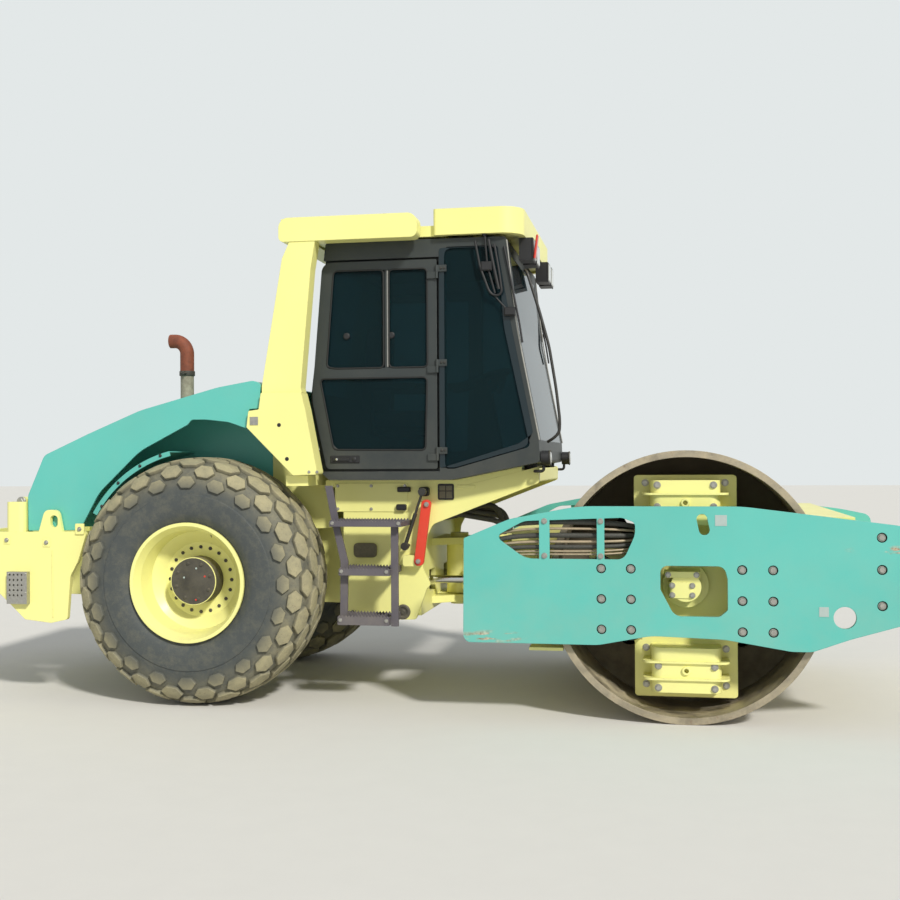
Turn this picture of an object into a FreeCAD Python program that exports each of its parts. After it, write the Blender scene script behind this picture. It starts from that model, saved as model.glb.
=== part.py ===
"""Articulated single-drum soil compactor, one STEP file for each named sub-part.

Millimetres. +X is forward, +Y is the machine's left, +Z is up. The origin lies on the
ground under the middle of the machine, half way between its front and rear ends.
Tables give side views as (x, z, corner radius). Those of the rear unit are drawn from
the rear axle for a 755 mm tyre, those of the front unit from the drum axis for a
765 mm drum, and rear() and front() put them at the machine's own sizes.
"""
import FreeCAD
import Part
import math
import os

V = FreeCAD.Vector

# overall
wheelbase = 2934.0
front_reach = 1330.0
rear_reach = 1616.0
drum_x = (rear_reach + wheelbase - front_reach) / 2
axle_x = drum_x - wheelbase
pivot_x = (drum_x + axle_x) / 2
running_gap = 5.0
seat_gap = 0.3
slide_fit = 0.5

# drum
drum_radius = 765.0
drum_half_width = 1065.0
drum_wall = 38.0
drum_end_depth = 490.0
drum_head_y = drum_half_width - drum_end_depth
drum_head_thick = 30.0
drum_hub_radius = 190.0
drum_hub_length = 70.0
drum_shaft_radius = 90.0
drum_hole_radius = 75.0

# front frame
plate_gap = 35.0
plate_thick = 25.0
plate_inner_y = drum_half_width + plate_gap
plate_y = plate_inner_y + plate_thick
bolt_recess_radius = 27.0
bolt_recess_depth = 12.0
lashing_radius = 60.0

# drum supports, between the side plates and the drum heads
support_y = drum_half_width - 215.0
support_thick = 30.0
casting_depth = 170.0
wing_depth = 140.0
wing_thick = 25.0
buffer_radius = 62.0

# tyres and rims
tyre_radius = 755.0
tyre_width = 587.0
tyre_mid_y = 819.0
lug_height = 22.0
lug_count = 20
rim_radius = 361.0
rim_lip_radius = 340.0
rim_disc_radius = 230.0
hub_radius = 145.0
hub_y = 1000.0
spindle_radius = 75.0
spindle_end = 880.0
axle_z = tyre_radius
axle_notch = 130.0

# rear unit
chassis_half_width = 400.0
rail_thick = 30.0
side_plate_y = 620.0
side_plate_thick = 25.0
rops_y = 950.0
rops_depth = 100.0
hood_half_width = 930.0
hood_skin = 14.0
hood_centre_y = 480.0
hood_arm_y = 800.0
hood_lug_y = 830.0
hood_pin_radius = 15.0
bumper_half_width = 970.0
bumper_plate = 30.0
bumper_wall = 90.0
ladder_y = 950.0
exhaust_radius = 44.0
exhaust_place = -330

# cab
cab_half_width = 775.0
cab_wall = 85.0
glass_border = 40.0
door_thick = 40.0
door_plane_gap = 6.0
glass_thick = 8.0
hinge_radius = 9.5
hinge_pin_radius = 6.0
hinge_length = 40.0

# steering joint
ear_thick = 45.0
ear_half = 95.0
yoke_hub_radius = 85.0
pivot_pin_radius = 40.0
bearing_radius = 210.0
bearing_shaft_radius = 70.0
tongue_half = 170.0
cylinder_lug_y = 220.0
cylinder_base_y = 260.0
eye_radius = 38.0
eye_half = 30.0
barrel_radius = 48.0
gland_radius = 54.0
rod_radius = 25.0
cylinder_pin_radius = 22.0
cylinder_plate = 20.0

# hoses
hose_radius = 14.5
pivot_hose_radius = 18.0

hexagon = [(math.cos(turn * math.pi / 3), math.sin(turn * math.pi / 3)) for turn in range(6)]


def placed(x, stations):
    """Real distance of a drawn one, in proportion between the stations on its two sides."""
    i = 0
    while i < len(stations) - 2 and x > stations[i + 1][0]:
        i += 1
    drawn_start, real_start = stations[i]
    drawn_end, real_end = stations[i + 1]
    return real_start + (x - drawn_start) * (real_end - real_start) / (drawn_end - drawn_start)


# (drawn, real) distances: tail, behind the tyre, before the tyre, steering pivot
rear_scale = tyre_radius / 755
rear_stations = [
    (-1616, -rear_reach), (-850, -850 * rear_scale), (760, 760 * rear_scale), (1467, wheelbase / 2),
]
# (drawn, real) distances: steering pivot, behind the drum, before the drum, nose
front_scale = drum_radius / 765
front_stations = [
    (-1467, -wheelbase / 2), (-830, -830 * front_scale), (860, 860 * front_scale), (1330, front_reach),
]


def rear_x(x):
    return axle_x + placed(x, rear_stations)


def front_x(x):
    return drum_x + placed(x, front_stations)


def ahead(distance):
    """Place that far ahead of the steering pivot."""
    return front_x(distance - 1467)


def rear(points):
    return [(rear_x(x), z * rear_scale, radius * rear_scale) for x, z, radius in points]


def front(points):
    return [(front_x(x), z * front_scale, radius * front_scale) for x, z, radius in points]


def unit(vector):
    return vector * (1 / vector.Length)


def rounding(before, here, after, reach):
    """Arc that rounds a corner between two sides, starting a reach away from it."""
    into = unit(here - before)
    out = unit(after - here)
    turn = into.getAngle(out)
    radius = reach / math.tan(turn / 2)
    start = here - into * reach
    stop = here + out * reach
    middle = here + unit(out - into) * (radius / math.cos(turn / 2) - radius)
    return start, Part.Arc(start, middle, stop).toShape(), stop


def rounded_wire(points, place):
    """Closed wire through (a, b, radius) corners, each rounded as far as its sides allow."""
    corners = [place(a, b) for a, b, radius in points]
    edges = []
    ends = []
    for i, (a, b, radius) in enumerate(points):
        before = corners[i - 1]
        here = corners[i]
        after = corners[(i + 1) % len(points)]
        turn = (here - before).getAngle(after - here)
        room = 0.49 * min((here - before).Length, (after - here).Length)
        reach = min(radius * math.tan(turn / 2), room)
        if reach < 0.01:
            ends.append((here, here))
            continue
        start, arc, stop = rounding(before, here, after, reach)
        ends.append((start, stop))
        edges.append(arc)
    for i in range(len(points)):
        start = ends[i][1]
        stop = ends[(i + 1) % len(points)][0]
        if (stop - start).Length > 0.001:
            edges.append(Part.LineSegment(start, stop).toShape())
    return Part.Wire(Part.__sortEdges__(edges))


def side_profile(points, y0, y1):
    """Solid with a side view outline, from y0 to y1."""
    wire = rounded_wire(points, lambda a, b: V(a, y0, b))
    return Part.Face(wire).extrude(V(0, y1 - y0, 0))


def plan_profile(points, z0, z1):
    """Solid with a plan outline of (x, y, radius) corners, from z0 to z1."""
    wire = rounded_wire(points, lambda a, b: V(a, b, z0))
    return Part.Face(wire).extrude(V(0, 0, z1 - z0))


def block(x0, x1, y0, y1, z0, z1):
    return Part.makeBox(x1 - x0, y1 - y0, z1 - z0, V(x0, y0, z0))


def rear_block(x0, x1, y0, y1, z0, z1):
    return block(rear_x(x0), rear_x(x1), y0, y1, z0 * rear_scale, z1 * rear_scale)


def front_block(x0, x1, y0, y1, z0, z1):
    return block(front_x(x0), front_x(x1), y0, y1, z0 * front_scale, z1 * front_scale)


def rod_x(y, z, radius, x0, x1):
    return Part.makeCylinder(radius, x1 - x0, V(x0, y, z), V(1, 0, 0))


def rod_y(x, z, radius, y0, y1):
    return Part.makeCylinder(radius, y1 - y0, V(x, y0, z), V(0, 1, 0))


def rod_z(x, y, radius, z0, z1):
    return Part.makeCylinder(radius, z1 - z0, V(x, y, z0), V(0, 0, 1))


def rod_between(start, stop, radius):
    return Part.makeCylinder(radius, (stop - start).Length, start, unit(stop - start))


def join(shapes):
    return shapes[0].multiFuse(shapes[1:]).removeSplitter()


def cut(shape, tools):
    for tool in tools:
        shape = shape.cut(tool)
    return shape


def mirrored(shape):
    return shape.mirror(V(0, 0, 0), V(0, 1, 0))


def pair(shape):
    return [shape, mirrored(shape)]


def revolved_y(profile, x, z, angle=360.0):
    """Solid swept about the Y line through (x, z) from (y, radius) corners above that line."""
    corners = [V(x, y, z + radius) for y, radius in profile]
    face = Part.Face(Part.makePolygon(corners + [corners[0]]))
    return face.revolve(V(x, 0, z), V(0, 1, 0), angle)


def tube(points, radius, bend=0.0):
    """Round bar along straight runs joined by tangent arcs that start a bend's reach away."""
    corners = [V(*point) for point in points]
    edges = []
    start = corners[0]
    for before, here, after in zip(corners, corners[1:], corners[2:]):
        reach = bend or 0.45 * min((here - before).Length, (after - here).Length)
        bend_start, arc, bend_stop = rounding(before, here, after, reach)
        edges.append(Part.LineSegment(start, bend_start).toShape())
        edges.append(arc)
        start = bend_stop
    edges.append(Part.LineSegment(start, corners[-1]).toShape())
    ring = Part.Wire(Part.makeCircle(radius, corners[0], corners[1] - corners[0]))
    return Part.Wire(edges).makePipeShell([ring], True, True)


def save(name, shape):
    os.makedirs("parts", exist_ok=True)
    shape.exportStep("parts/" + name + ".step")
    print(name, len(shape.Solids), "solids", "valid" if shape.isValid() else "NOT VALID")


# drum: rolled plate shell, and two round heads set into it with a hub on each

def drum_shell():
    inner = drum_radius - drum_wall
    shell = rod_y(drum_x, drum_radius, drum_radius, -drum_half_width, drum_half_width)
    return shell.cut(rod_y(drum_x, drum_radius, inner, -drum_half_width - 1, drum_half_width + 1))


def drum_heads():
    inner = drum_radius - drum_wall
    head = rod_y(drum_x, drum_radius, inner - seat_gap, -drum_head_y, drum_head_thick - drum_head_y)
    hub = rod_y(drum_x, drum_radius, drum_hub_radius, -drum_head_y - drum_hub_length, 1 - drum_head_y)
    width = drum_half_width
    tools = [rod_y(drum_x, drum_radius, drum_shaft_radius + slide_fit, -width, width)]
    hole_circle = (drum_hub_radius + inner) / 2
    for turn in (45, 135, 225, 315):
        x = drum_x + hole_circle * math.cos(math.radians(turn))
        z = drum_radius + hole_circle * math.sin(math.radians(turn))
        tools.append(rod_y(x, z, drum_hole_radius, -width, width))
    return Part.makeCompound(pair(cut(join([head, hub]), tools)))


# front frame: two side plates on two cross beams

plate_outline = [
    (-1245, 1036, 12), (-983, 1146, 300), (-593, 1219, 900), (300, 1219, 900),
    (1121, 1118, 900), (1330, 1075, 60), (1330, 640, 60), (867, 502, 400), (669, 430, 120),
    (561, 430, 200), (204, 488, 400), (-193, 500, 400), (-485, 443, 300), (-1251, 443, 45),
]
hose_window = [
    (-1064, 1046, 25), (-900, 1135, 120), (-349, 1155, 40), (-277, 1128, 30),
    (-277, 1060, 120), (-340, 922, 60), (-893, 922, 150),
]
motor_hatch = [
    (-140, 890, 40), (206, 890, 60), (224, 819, 20), (224, 649, 20), (180, 611, 40),
    (-64, 611, 60), (-140, 757, 20),
]
tilted_slot = [(65, 1060, 29), (123, 1060, 29), (123, 1178, 29), (65, 1178, 29)]
tilted_slot_angle = -12.0
window_straps = [(-813, -754), (-489, -447)]
lashing_place = (840.0, 619.0)
buffer_x = [-466, -302, 302, 466]
buffer_z = [871, 701, 531]
nose_bolts = [(1033, 1053), (1033, 880), (1033, 686)]


def front_plate():
    """Right-hand side plate with its window, hatch and bolt recesses."""
    y0 = -plate_y
    y1 = -plate_inner_y
    plate = side_profile(front(plate_outline), y0, y1)
    tools = [side_profile(front(outline), y0 - 1, y1 + 1) for outline in (hose_window, motor_hatch)]
    slot = side_profile(front(tilted_slot), y0 - 1, y1 + 1)
    slot.rotate(slot.CenterOfMass, V(0, 1, 0), tilted_slot_angle)
    tools.append(slot)
    x, z = lashing_place
    tools.append(rod_y(front_x(x), z * front_scale, lashing_radius, y0 - 1, y1 + 1))
    recess_y = y0 + bolt_recess_depth
    for x, z in [(x, z) for x in buffer_x for z in buffer_z] + nose_bolts:
        tools.append(rod_y(front_x(x), z * front_scale, bolt_recess_radius, y0 - 1, recess_y))
    plate = cut(plate, tools)
    straps = [front_block(x0, x1, y0, recess_y, 915, 1160) for x0, x1 in window_straps]
    return join([plate] + straps)


rear_beam = (-980, -830)
rear_beam_z = (560, 1080)
hose_lane_y = plate_inner_y - 65.0
hose_lane_z = 905
bearing_z = axle_z + 10.0
tongue_half_height = 150.0


def rear_crossbeam():
    """Box beam with the tongue that carries the frame on the yoke's shaft."""
    end = plate_inner_y - seat_gap
    beam = front_block(*rear_beam, -end, end, *rear_beam_z)
    lanes = pair(front_block(rear_beam[0] - 1, rear_beam[1] + 1, -end - 1, -hose_lane_y,
                             hose_lane_z, rear_beam_z[1] + 1))
    tongue_x = ahead(290) + running_gap
    back_x = front_x(rear_beam[0])
    tongue = [
        rod_x(0, bearing_z, bearing_radius, tongue_x, ahead(340)),
        block(ahead(335), back_x + 1, -tongue_half, tongue_half,
              bearing_z - tongue_half_height, bearing_z + tongue_half_height),
    ]
    gussets = []
    for side in (-1, 1):
        corners = [(ahead(355), side * 100, 0), (back_x + 1, side * 100, 0),
                   (back_x + 1, side * 420, 0)]
        gussets.append(plan_profile(corners, bearing_z + 90, bearing_z + 120))
        gussets.append(plan_profile(corners, bearing_z - 120, bearing_z - 90))
    shelf = front_block(-1140, rear_beam[0] + 1, -end, -hose_lane_y - 5, 885, hose_lane_z)
    hose_plate = front_block(-1140, -1130, -end, -hose_lane_y - 5, 885, 1058)
    bore = rod_x(0, bearing_z, bearing_shaft_radius + slide_fit, tongue_x - 1, front_x(-970))
    return cut(join([cut(beam, lanes)] + tongue + gussets + [shelf, hose_plate]), [bore])


def front_crossbeam():
    outline = [(860, 700, 0), (920, 640, 30), (1180, 640, 30), (1180, 1060, 30), (860, 1060, 30)]
    end = plate_inner_y - seat_gap
    beam = side_profile(front(outline), -end, end)
    inside = [(875, 706, 0), (926, 655, 20), (1165, 655, 20), (1165, 1045, 20), (875, 1045, 20)]
    return beam.cut(side_profile(front(inside), -end + 20, end - 20))


# (z, where its strut starts, strut's other end, front or rear side of the drum)
scraper_places = [(1150, 1060, 1), (405, 560, -1)]
scraper_gap = 12.0
scraper_strut_y = (-800, -400, 0, 400, 800)


def scrapers():
    """Cross blades close to the drum face, on struts from the cross beams."""
    pieces = []
    for z, beam_z, side in scraper_places:
        blade_z = z * front_scale
        height = blade_z - drum_radius
        tip = drum_x + side * (math.sqrt(drum_radius ** 2 - height ** 2) + scraper_gap)
        far = front_x(905) if side > 0 else front_x(-880)
        x0, x1 = sorted((tip, far))
        parts = [block(x0, x1, -drum_half_width, drum_half_width, blade_z - 9, blade_z + 9)]
        z0, z1 = sorted((blade_z, beam_z * front_scale + (seat_gap if side > 0 else -seat_gap)))
        for y in scraper_strut_y:
            middle = far - side * 25
            parts.append(block(middle - 20, middle + 20, y - 40, y + 40, z0, z1))
        pieces.append(join(parts))
    return Part.makeCompound(pieces)


# drum supports: ribbed carrier castings on rubber buffers, with the motor in the middle

carrier_outline = [
    (-290, 115, 20), (290, 115, 20), (290, 450, 30), (540, 450, 30), (540, 960, 30),
    (290, 960, 30), (290, 1390, 20), (-290, 1390, 20), (-290, 960, 30), (-540, 960, 30),
    (-540, 450, 30), (-290, 450, 30),
]
# (bottom, top, z of each lip) of the upper casting; the lower one mirrors it in the drum axis
upper_casting = (1110, 1362, (1190, 1285))
casting_half = 195
lip_half = 240


def rounded_box(x0, x1, y0, y1, z0, z1, radius):
    """Front-unit box with its two outer upright edges rounded."""
    a = front_x(x0)
    b = front_x(x1)
    corners = [(a, y1, 0), (a, y0, radius), (b, y0, radius), (b, y1, 0)]
    return plan_profile(corners, z0 * front_scale, z1 * front_scale)


def drum_support():
    """Right-hand carrier with its castings, buffer brackets, motor and shaft."""
    y_out = -support_y
    y_in = y_out + support_thick
    pieces = [side_profile(front(carrier_outline), y_out, y_in)]
    tools = []
    z0, z1, lips = upper_casting
    for flip in (False, True):
        low, high = (1530 - z1, 1530 - z0) if flip else (z0, z1)
        face = y_out - casting_depth
        pieces.append(rounded_box(-casting_half, casting_half, face, y_out + 1, low, high, 60))
        for lip in lips:
            z = 1530 - lip if flip else lip
            pieces.append(rounded_box(-lip_half, lip_half, face - 15, y_out + 1, z - 6, z + 6, 50))
        middle = (low + high) / 2 * front_scale
        pieces.append(rod_y(drum_x, middle, 24, face - 12, y_out))
        tools.append(rod_y(drum_x, middle, 13, face - 13, face + 30))
    for side in (-1, 1):
        x0, x1 = sorted((side * 245, side * 540))
        wing_y = y_out - wing_depth
        pieces.append(front_block(x0, x1, wing_y, wing_y + wing_thick, 460, 950))
        for z in (470, 705, 940):
            pieces.append(front_block(x0, x1, y_out - wing_depth + 1, y_out + 1, z - 10, z + 10))
    pieces.append(rod_y(drum_x, drum_radius, 130, y_out - 60, y_out + 1))
    pieces.append(rod_y(drum_x, drum_radius, 85, y_out - 175, y_out))
    pieces.append(rounded_box(-120, 80, y_out - 185, y_out - 59, 815, 850, 20))
    pieces.append(rounded_box(-95, 55, y_out - 180, y_out - 59, 700, 790, 30))
    pieces.append(rounded_box(-150, -50, y_out - casting_depth, y_out - 60, 945, 1111, 10))
    hub_y = drum_head_y + drum_hub_length + running_gap
    pieces.append(rod_y(drum_x, drum_radius, 170, y_in - 1, -hub_y))
    pieces.append(rod_y(drum_x, drum_radius, drum_shaft_radius, y_in, drum_head_thick - drum_head_y))
    return cut(join(pieces), tools)


def rubber_buffers():
    discs = []
    for x in buffer_x:
        for z in buffer_z:
            disc = rod_y(front_x(x), z * front_scale, buffer_radius,
                         seat_gap - plate_inner_y, -seat_gap - support_y - wing_depth)
            discs += pair(disc)
    return Part.makeCompound(discs)


# (z in the window, z at the hose plate, radius) of the hoses and pipes to the drum motor
window_hoses = [
    (1128, 1040, hose_radius), (1091, 1016, 7), (1053, 990, hose_radius), (1017, 966, 8),
    (988, 944, 12), (963, 924, 6), (945, 911, 6),
]


def front_hoses():
    """Hoses and pipes from the hose plate, past the window, to the right-hand motor."""
    lane = hose_radius + 0.5 - plate_inner_y
    end_y = -support_y - casting_depth + 45
    tubes = []
    for i, (window_z, plate_z, radius) in enumerate(window_hoses):
        route = [(-1130, lane, plate_z), (-1100, lane, plate_z), (-1000, lane, window_z),
                 (-400, lane, window_z), (-230, end_y, 1088 - 20 * i), (-150, end_y, 1088 - 20 * i)]
        points = [(front_x(x), y, z * front_scale) for x, y, z in route]
        points[0] = (points[0][0] + seat_gap,) + points[0][1:]
        points[-1] = (points[-1][0] - seat_gap,) + points[-1][1:]
        tubes.append(tube(points, radius))
    return Part.makeCompound(tubes)


# steering joint: yoke between the rear frame's ears, steered by two cylinders

ear_top_z = 930 * rear_scale
ear_bottom_z = 600 * rear_scale
cylinder_z = 710 * rear_scale
rod_start = 240.0
pivot_hose_z = bearing_z + bearing_radius + 37.0


def articulation_yoke():
    z0 = ear_bottom_z + running_gap
    z1 = ear_top_z - running_gap
    hub = rod_z(pivot_x, 0, yoke_hub_radius, z0, z1)
    neck = block(pivot_x, ahead(251), -80, 80, z0 + 20, z1 - 20)
    flange = rod_x(0, bearing_z, bearing_radius, ahead(250), ahead(290))
    shaft = rod_x(0, bearing_z, bearing_shaft_radius, ahead(289), front_x(-987))
    ear_low = ear_bottom_z - ear_thick
    ear_high = ear_top_z + ear_thick
    pin = rod_z(pivot_x, 0, pivot_pin_radius, ear_low - 15, ear_high + 15)
    caps = [rod_z(pivot_x, 0, 60, ear_high + seat_gap, ear_high + 25),
            rod_z(pivot_x, 0, 60, ear_low - 25, ear_low - seat_gap)]
    arms = []
    inner = cylinder_z + eye_half + running_gap
    outer_y = cylinder_lug_y + 50
    for z in (2 * cylinder_z - inner - cylinder_plate, inner):
        for side in (-1, 1):
            arms.append(plan_profile([
                (ahead(30), 0, 0), (ahead(60), side * outer_y, 40),
                (ahead(160), side * outer_y, 40), (ahead(230), 0, 0)], z, z + cylinder_plate))
    hose_bracket = [
        block(ahead(254), ahead(286), -60, 60, bearing_z + bearing_radius - 30, pivot_hose_z - 1),
        block(ahead(254), ahead(430), -390, 60, pivot_hose_z - 12, pivot_hose_z),
    ]
    return join([hub, neck, flange, shaft, pin] + caps + arms + hose_bracket)


def cylinder_line(side):
    """Eye centres of a steering cylinder and the direction between them."""
    start = V(rear_x(827), side * cylinder_base_y, cylinder_z)
    stop = V(ahead(110), side * cylinder_lug_y, cylinder_z)
    return start, stop, unit(stop - start)


def cylinder_barrel(side):
    start, stop, along = cylinder_line(side)
    length = (stop - start).Length
    eye = rod_z(start.x, start.y, eye_radius, cylinder_z - eye_half, cylinder_z + eye_half)
    neck = rod_between(start + along * 30, start + along * 60, 28)
    body = rod_between(start + along * 55, start + along * (length - 310), barrel_radius)
    gland = rod_between(start + along * (length - 310), start + along * (length - 280), gland_radius)
    pin_hole = rod_z(start.x, start.y, cylinder_pin_radius + slide_fit,
                     cylinder_z - 60, cylinder_z + 60)
    bore = rod_between(start + along * 75, stop, rod_radius + slide_fit)
    return cut(join([eye, neck, body, gland]), [pin_hole, bore])


def cylinder_rod(side):
    start, stop, along = cylinder_line(side)
    rod = rod_between(start + along * rod_start, stop, rod_radius)
    eye = rod_z(stop.x, stop.y, eye_radius, cylinder_z - eye_half, cylinder_z + eye_half)
    pin_end = eye_half + running_gap - seat_gap
    pin = rod_z(stop.x, stop.y, cylinder_pin_radius, cylinder_z - pin_end, cylinder_z + pin_end)
    return join([rod, eye, pin])


# (y at the rear frame, y at the yoke, z of the start, height of the arch) of each hose
pivot_hose_rows = [
    (-90, -80, 1150, 1170), (-180, -150, 1120, 1195), (-270, -220, 1150, 1180),
    (-350, -290, 1110, 1205), (-430, -355, 1150, 1190),
]


def pivot_hoses():
    """Hoses that arch over the steering joint, from the rear frame to the yoke's bracket."""
    tubes = []
    for i, (y0, y1, start_z, arch_z) in enumerate(pivot_hose_rows):
        far = 330 + 18 * (i % 3)
        points = [
            (rear_x(1330) + seat_gap, y0, start_z * rear_scale),
            (ahead(20), y0, start_z * rear_scale),
            (ahead(190), (y0 + y1) / 2, arch_z * rear_scale),
            (ahead(far), y1, (arch_z - 30) * rear_scale),
            (ahead(far), y1, pivot_hose_z + seat_gap),
        ]
        tubes.append(tube(points, pivot_hose_radius))
    return Part.makeCompound(tubes)


# rear frame: two chassis rails, cross plates, the joint's ears and the roll-over frame's seats

engine_bottom = 1060
bulkhead = (1300, 1330)
rails_outline = [
    (-1526, 600, 30), (1300, 560, 30), (1300, 1060, 30), (700, 1060, 60),
    (-200, 1060, 60), (-1526, 960, 60),
]
rops_seat = (560, 700)
rops_seat_z = (1330, 1394.7)


def rear_frame():
    """Chassis rails joined by cross plates, with the steering joint's ears in front."""
    inner = chassis_half_width - 1
    side_inner = side_plate_y - side_plate_thick - seat_gap
    notch = block(axle_x - 110, axle_x + 110, -side_plate_y, side_plate_y, 0, axle_z + axle_notch)
    outer = -chassis_half_width
    rail = side_profile(rear(rails_outline), outer, outer + rail_thick).cut(notch)
    cross = [
        rear_block(*bulkhead, -side_inner, side_inner, 520, 1250),
        rear_block(830, bulkhead[0] + 1, -side_inner, side_inner, 520, 550),
        rear_block(830, bulkhead[0] + 1, -side_inner, side_inner, 1250, 1280),
        rear_block(830, 860, -side_inner, side_inner, 520, 1280),
        rear_block(-1500, -1470, -inner, inner, 650, 950),
        rear_block(-500, -470, -inner, inner, 800, engine_bottom - seat_gap),
        rear_block(200, 830, -inner, inner, 1020, 1050),
    ]
    upright = rear_block(*rops_seat, outer, outer + rail_thick, 1050, rops_seat_z[1])
    seat = rear_block(*rops_seat, 20 - hood_half_width, hood_half_width - 20, *rops_seat_z)
    ears = []
    ear_x = rear_x(bulkhead[1]) - 1
    for z in (ear_top_z, ear_bottom_z - ear_thick):
        ears.append(plan_profile([
            (ear_x, -260, 0), (pivot_x + ear_half, -ear_half, ear_half * 0.95),
            (pivot_x + ear_half, ear_half, ear_half * 0.95), (ear_x, 260, 0)], z, z + ear_thick))
    base_x = rear_x(827)
    bracket_z = eye_half + running_gap
    brackets = [rod_z(base_x, -cylinder_base_y, cylinder_pin_radius,
                      cylinder_z - bracket_z - 5, cylinder_z + bracket_z + 5)]
    for z in (cylinder_z - bracket_z - cylinder_plate, cylinder_z + bracket_z):
        brackets.append(block(base_x - 40, base_x + 40, outer + rail_thick - 1,
                              45 - cylinder_base_y, z, z + cylinder_plate))
    frame = join(pair(rail) + cross + pair(upright) + [seat] + ears + pair(join(brackets)))
    tools = [rod_z(pivot_x, 0, pivot_pin_radius + slide_fit, 0, 2 * axle_z)]
    z0 = cylinder_z - gland_radius - 16
    z1 = cylinder_z + gland_radius + 16
    for x0, x1 in ((bulkhead[0] - 10, bulkhead[1] + 10), (820, 870)):
        tools += pair(block(rear_x(x0), rear_x(x1), -345, -150, z0, z1))
    return cut(frame, tools)


# side frames: the plate behind the ladder with the arm under the cab

side_frame_outline = [
    (840, 486, 20), (1300, 497, 20), (1369, 689, 20), (1394, 713, 20), (1346, 813, 40),
    (1373, 1016, 40), (1410, 1087, 60), (2068, 1341, 15), (2070, 1440, 15),
    (1569, 1318, 120), (840, 1318, 20),
]


def frame_side():
    return side_profile(rear(side_frame_outline), -side_plate_y, side_plate_thick - side_plate_y)


def rear_axle():
    """Axle beam with a bulged differential housing, end drums and spindles."""
    end = spindle_end - 320
    housing = revolved_y([(-end, 0), (-end, 95), (-240, 105), (-130, 175), (-60, 195), (60, 195),
                          (130, 175), (240, 105), (end, 95), (end, 0)], axle_x, axle_z)
    drum = rod_y(axle_x, axle_z, 150, -end - 60, 60 - end)
    spindle = rod_y(axle_x, axle_z, spindle_radius, -spindle_end, spindle_end)
    rail_y = chassis_half_width - rail_thick / 2
    pad = block(axle_x - 105, axle_x + 105, -rail_y - 45, 45 - rail_y,
                axle_z + 50, axle_z + axle_notch - seat_gap)
    return join([housing, spindle] + pair(drum) + pair(pad))


# rims and tyres

def rim(side):
    """Drop-centre rim with a dished disc and a flat hub cap."""
    mid = side * tyre_mid_y
    edge = mid + side * tyre_width / 2
    back = mid - side * tyre_width * 0.45
    profile = [
        (edge - side * 2, rim_radius), (edge - side * 2, rim_lip_radius),
        (edge - side * 60, rim_lip_radius - 25), (mid + side * 110, 300),
        (mid + side * 60, rim_disc_radius), (mid + side * 52, 60), (mid + side * 38, 60),
        (mid + side * 38, rim_disc_radius + 10), (mid + side * 90, 312), (back, 325),
        (back, rim_radius), (back + side * 20, rim_radius), (back + side * 20, rim_lip_radius),
        (edge - side * 50, rim_lip_radius), (edge - side * 20, rim_radius),
    ]
    dish = revolved_y(profile, axle_x, axle_z)
    y0, y1 = sorted((mid + side * 45, side * hub_y))
    cap = rod_y(axle_x, axle_z, hub_radius, y0, y1)
    y0, y1 = sorted((mid - side * 30, side * (spindle_end + running_gap)))
    bore = rod_y(axle_x, axle_z, spindle_radius + slide_fit, y0, y1)
    return join([dish, cap]).cut(bore)


# (share of the half width, radius) of the tyre's section, from its middle to the rim's seat
tyre_section = [(0.30, 733), (0.70, 716), (0.92, 668), (1.0, 590), (0.98, 440), (0.88, 372)]
# (share of the half width, radius of the lug's face, tilt outward, half length round the
# tyre, half width across it, share of the pitch) of each half's rows of lugs
lug_rows = [(0.0, 755, 0, 86, 52, 0.0), (0.34, 750, 0, 86, 52, 0.5), (0.78, 716, 36, 78, 52, 0.0)]


def tyre_carcass(half):
    """Ring of flat facets, one for each lug of a row; its bore clears the rim's seat."""
    bead = (rim_radius + seat_gap) / math.cos(math.pi / lug_count)
    outer = [(share * half, radius * rear_scale) for share, radius in tyre_section]
    seat = outer[-1][0]
    section = outer + [(seat, bead), (-seat, bead)] + [(-y, r) for y, r in reversed(outer)]
    rings = []
    for i in range(lug_count):
        turn = 2 * math.pi * (i + 0.5) / lug_count
        rings.append([V(r * math.sin(turn), y, r * math.cos(turn)) for y, r in section])
    faces = []
    for i, ring in enumerate(rings):
        following = rings[(i + 1) % lug_count]
        for j in range(len(section)):
            k = (j + 1) % len(section)
            corners = [ring[j], ring[k], following[k], following[j], ring[j]]
            faces.append(Part.Face(Part.makePolygon(corners)))
    return Part.Solid(Part.Shell(faces))


def tyre_lug(y, radius, tilt, half_length, half_width, turn):
    """Hexagonal block whose face lies at its radius, tilted outward and turned round the axle."""
    corners = [(half_length, 0), (half_length / 2, half_width), (-half_length / 2, half_width),
               (-half_length, 0), (-half_length / 2, -half_width), (half_length / 2, -half_width)]
    outline = Part.makePolygon([V(a, b, 0) for a, b in corners + corners[:1]])
    lug = Part.Face(outline).extrude(V(0, 0, -2.2 * lug_height))
    lug.rotate(V(0, 0, 0), V(1, 0, 0), -tilt)
    lug.translate(V(0, y, radius))
    lug.rotate(V(0, 0, 0), V(0, 1, 0), turn)
    return lug


def tyre():
    """Left-hand tyre with its lugs, standing on the ground at the axle's place."""
    half = tyre_width / 2
    carcass = tyre_carcass(half)
    lugs = []
    pitch = 360.0 / lug_count
    for share, radius, tilt, half_length, half_width, phase in lug_rows:
        for i in range(lug_count):
            for side in (-1, 1) if share else (1,):
                lugs.append(tyre_lug(side * share * half, radius * rear_scale, side * tilt,
                                     half_length, half_width, (i + phase) * pitch))
    whole = carcass.multiFuse(lugs)
    whole.translate(V(axle_x, tyre_mid_y, axle_z))
    return whole


# bumper: counterweight box behind the engine, with lifting eyes and the hood's hinge lugs

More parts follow.
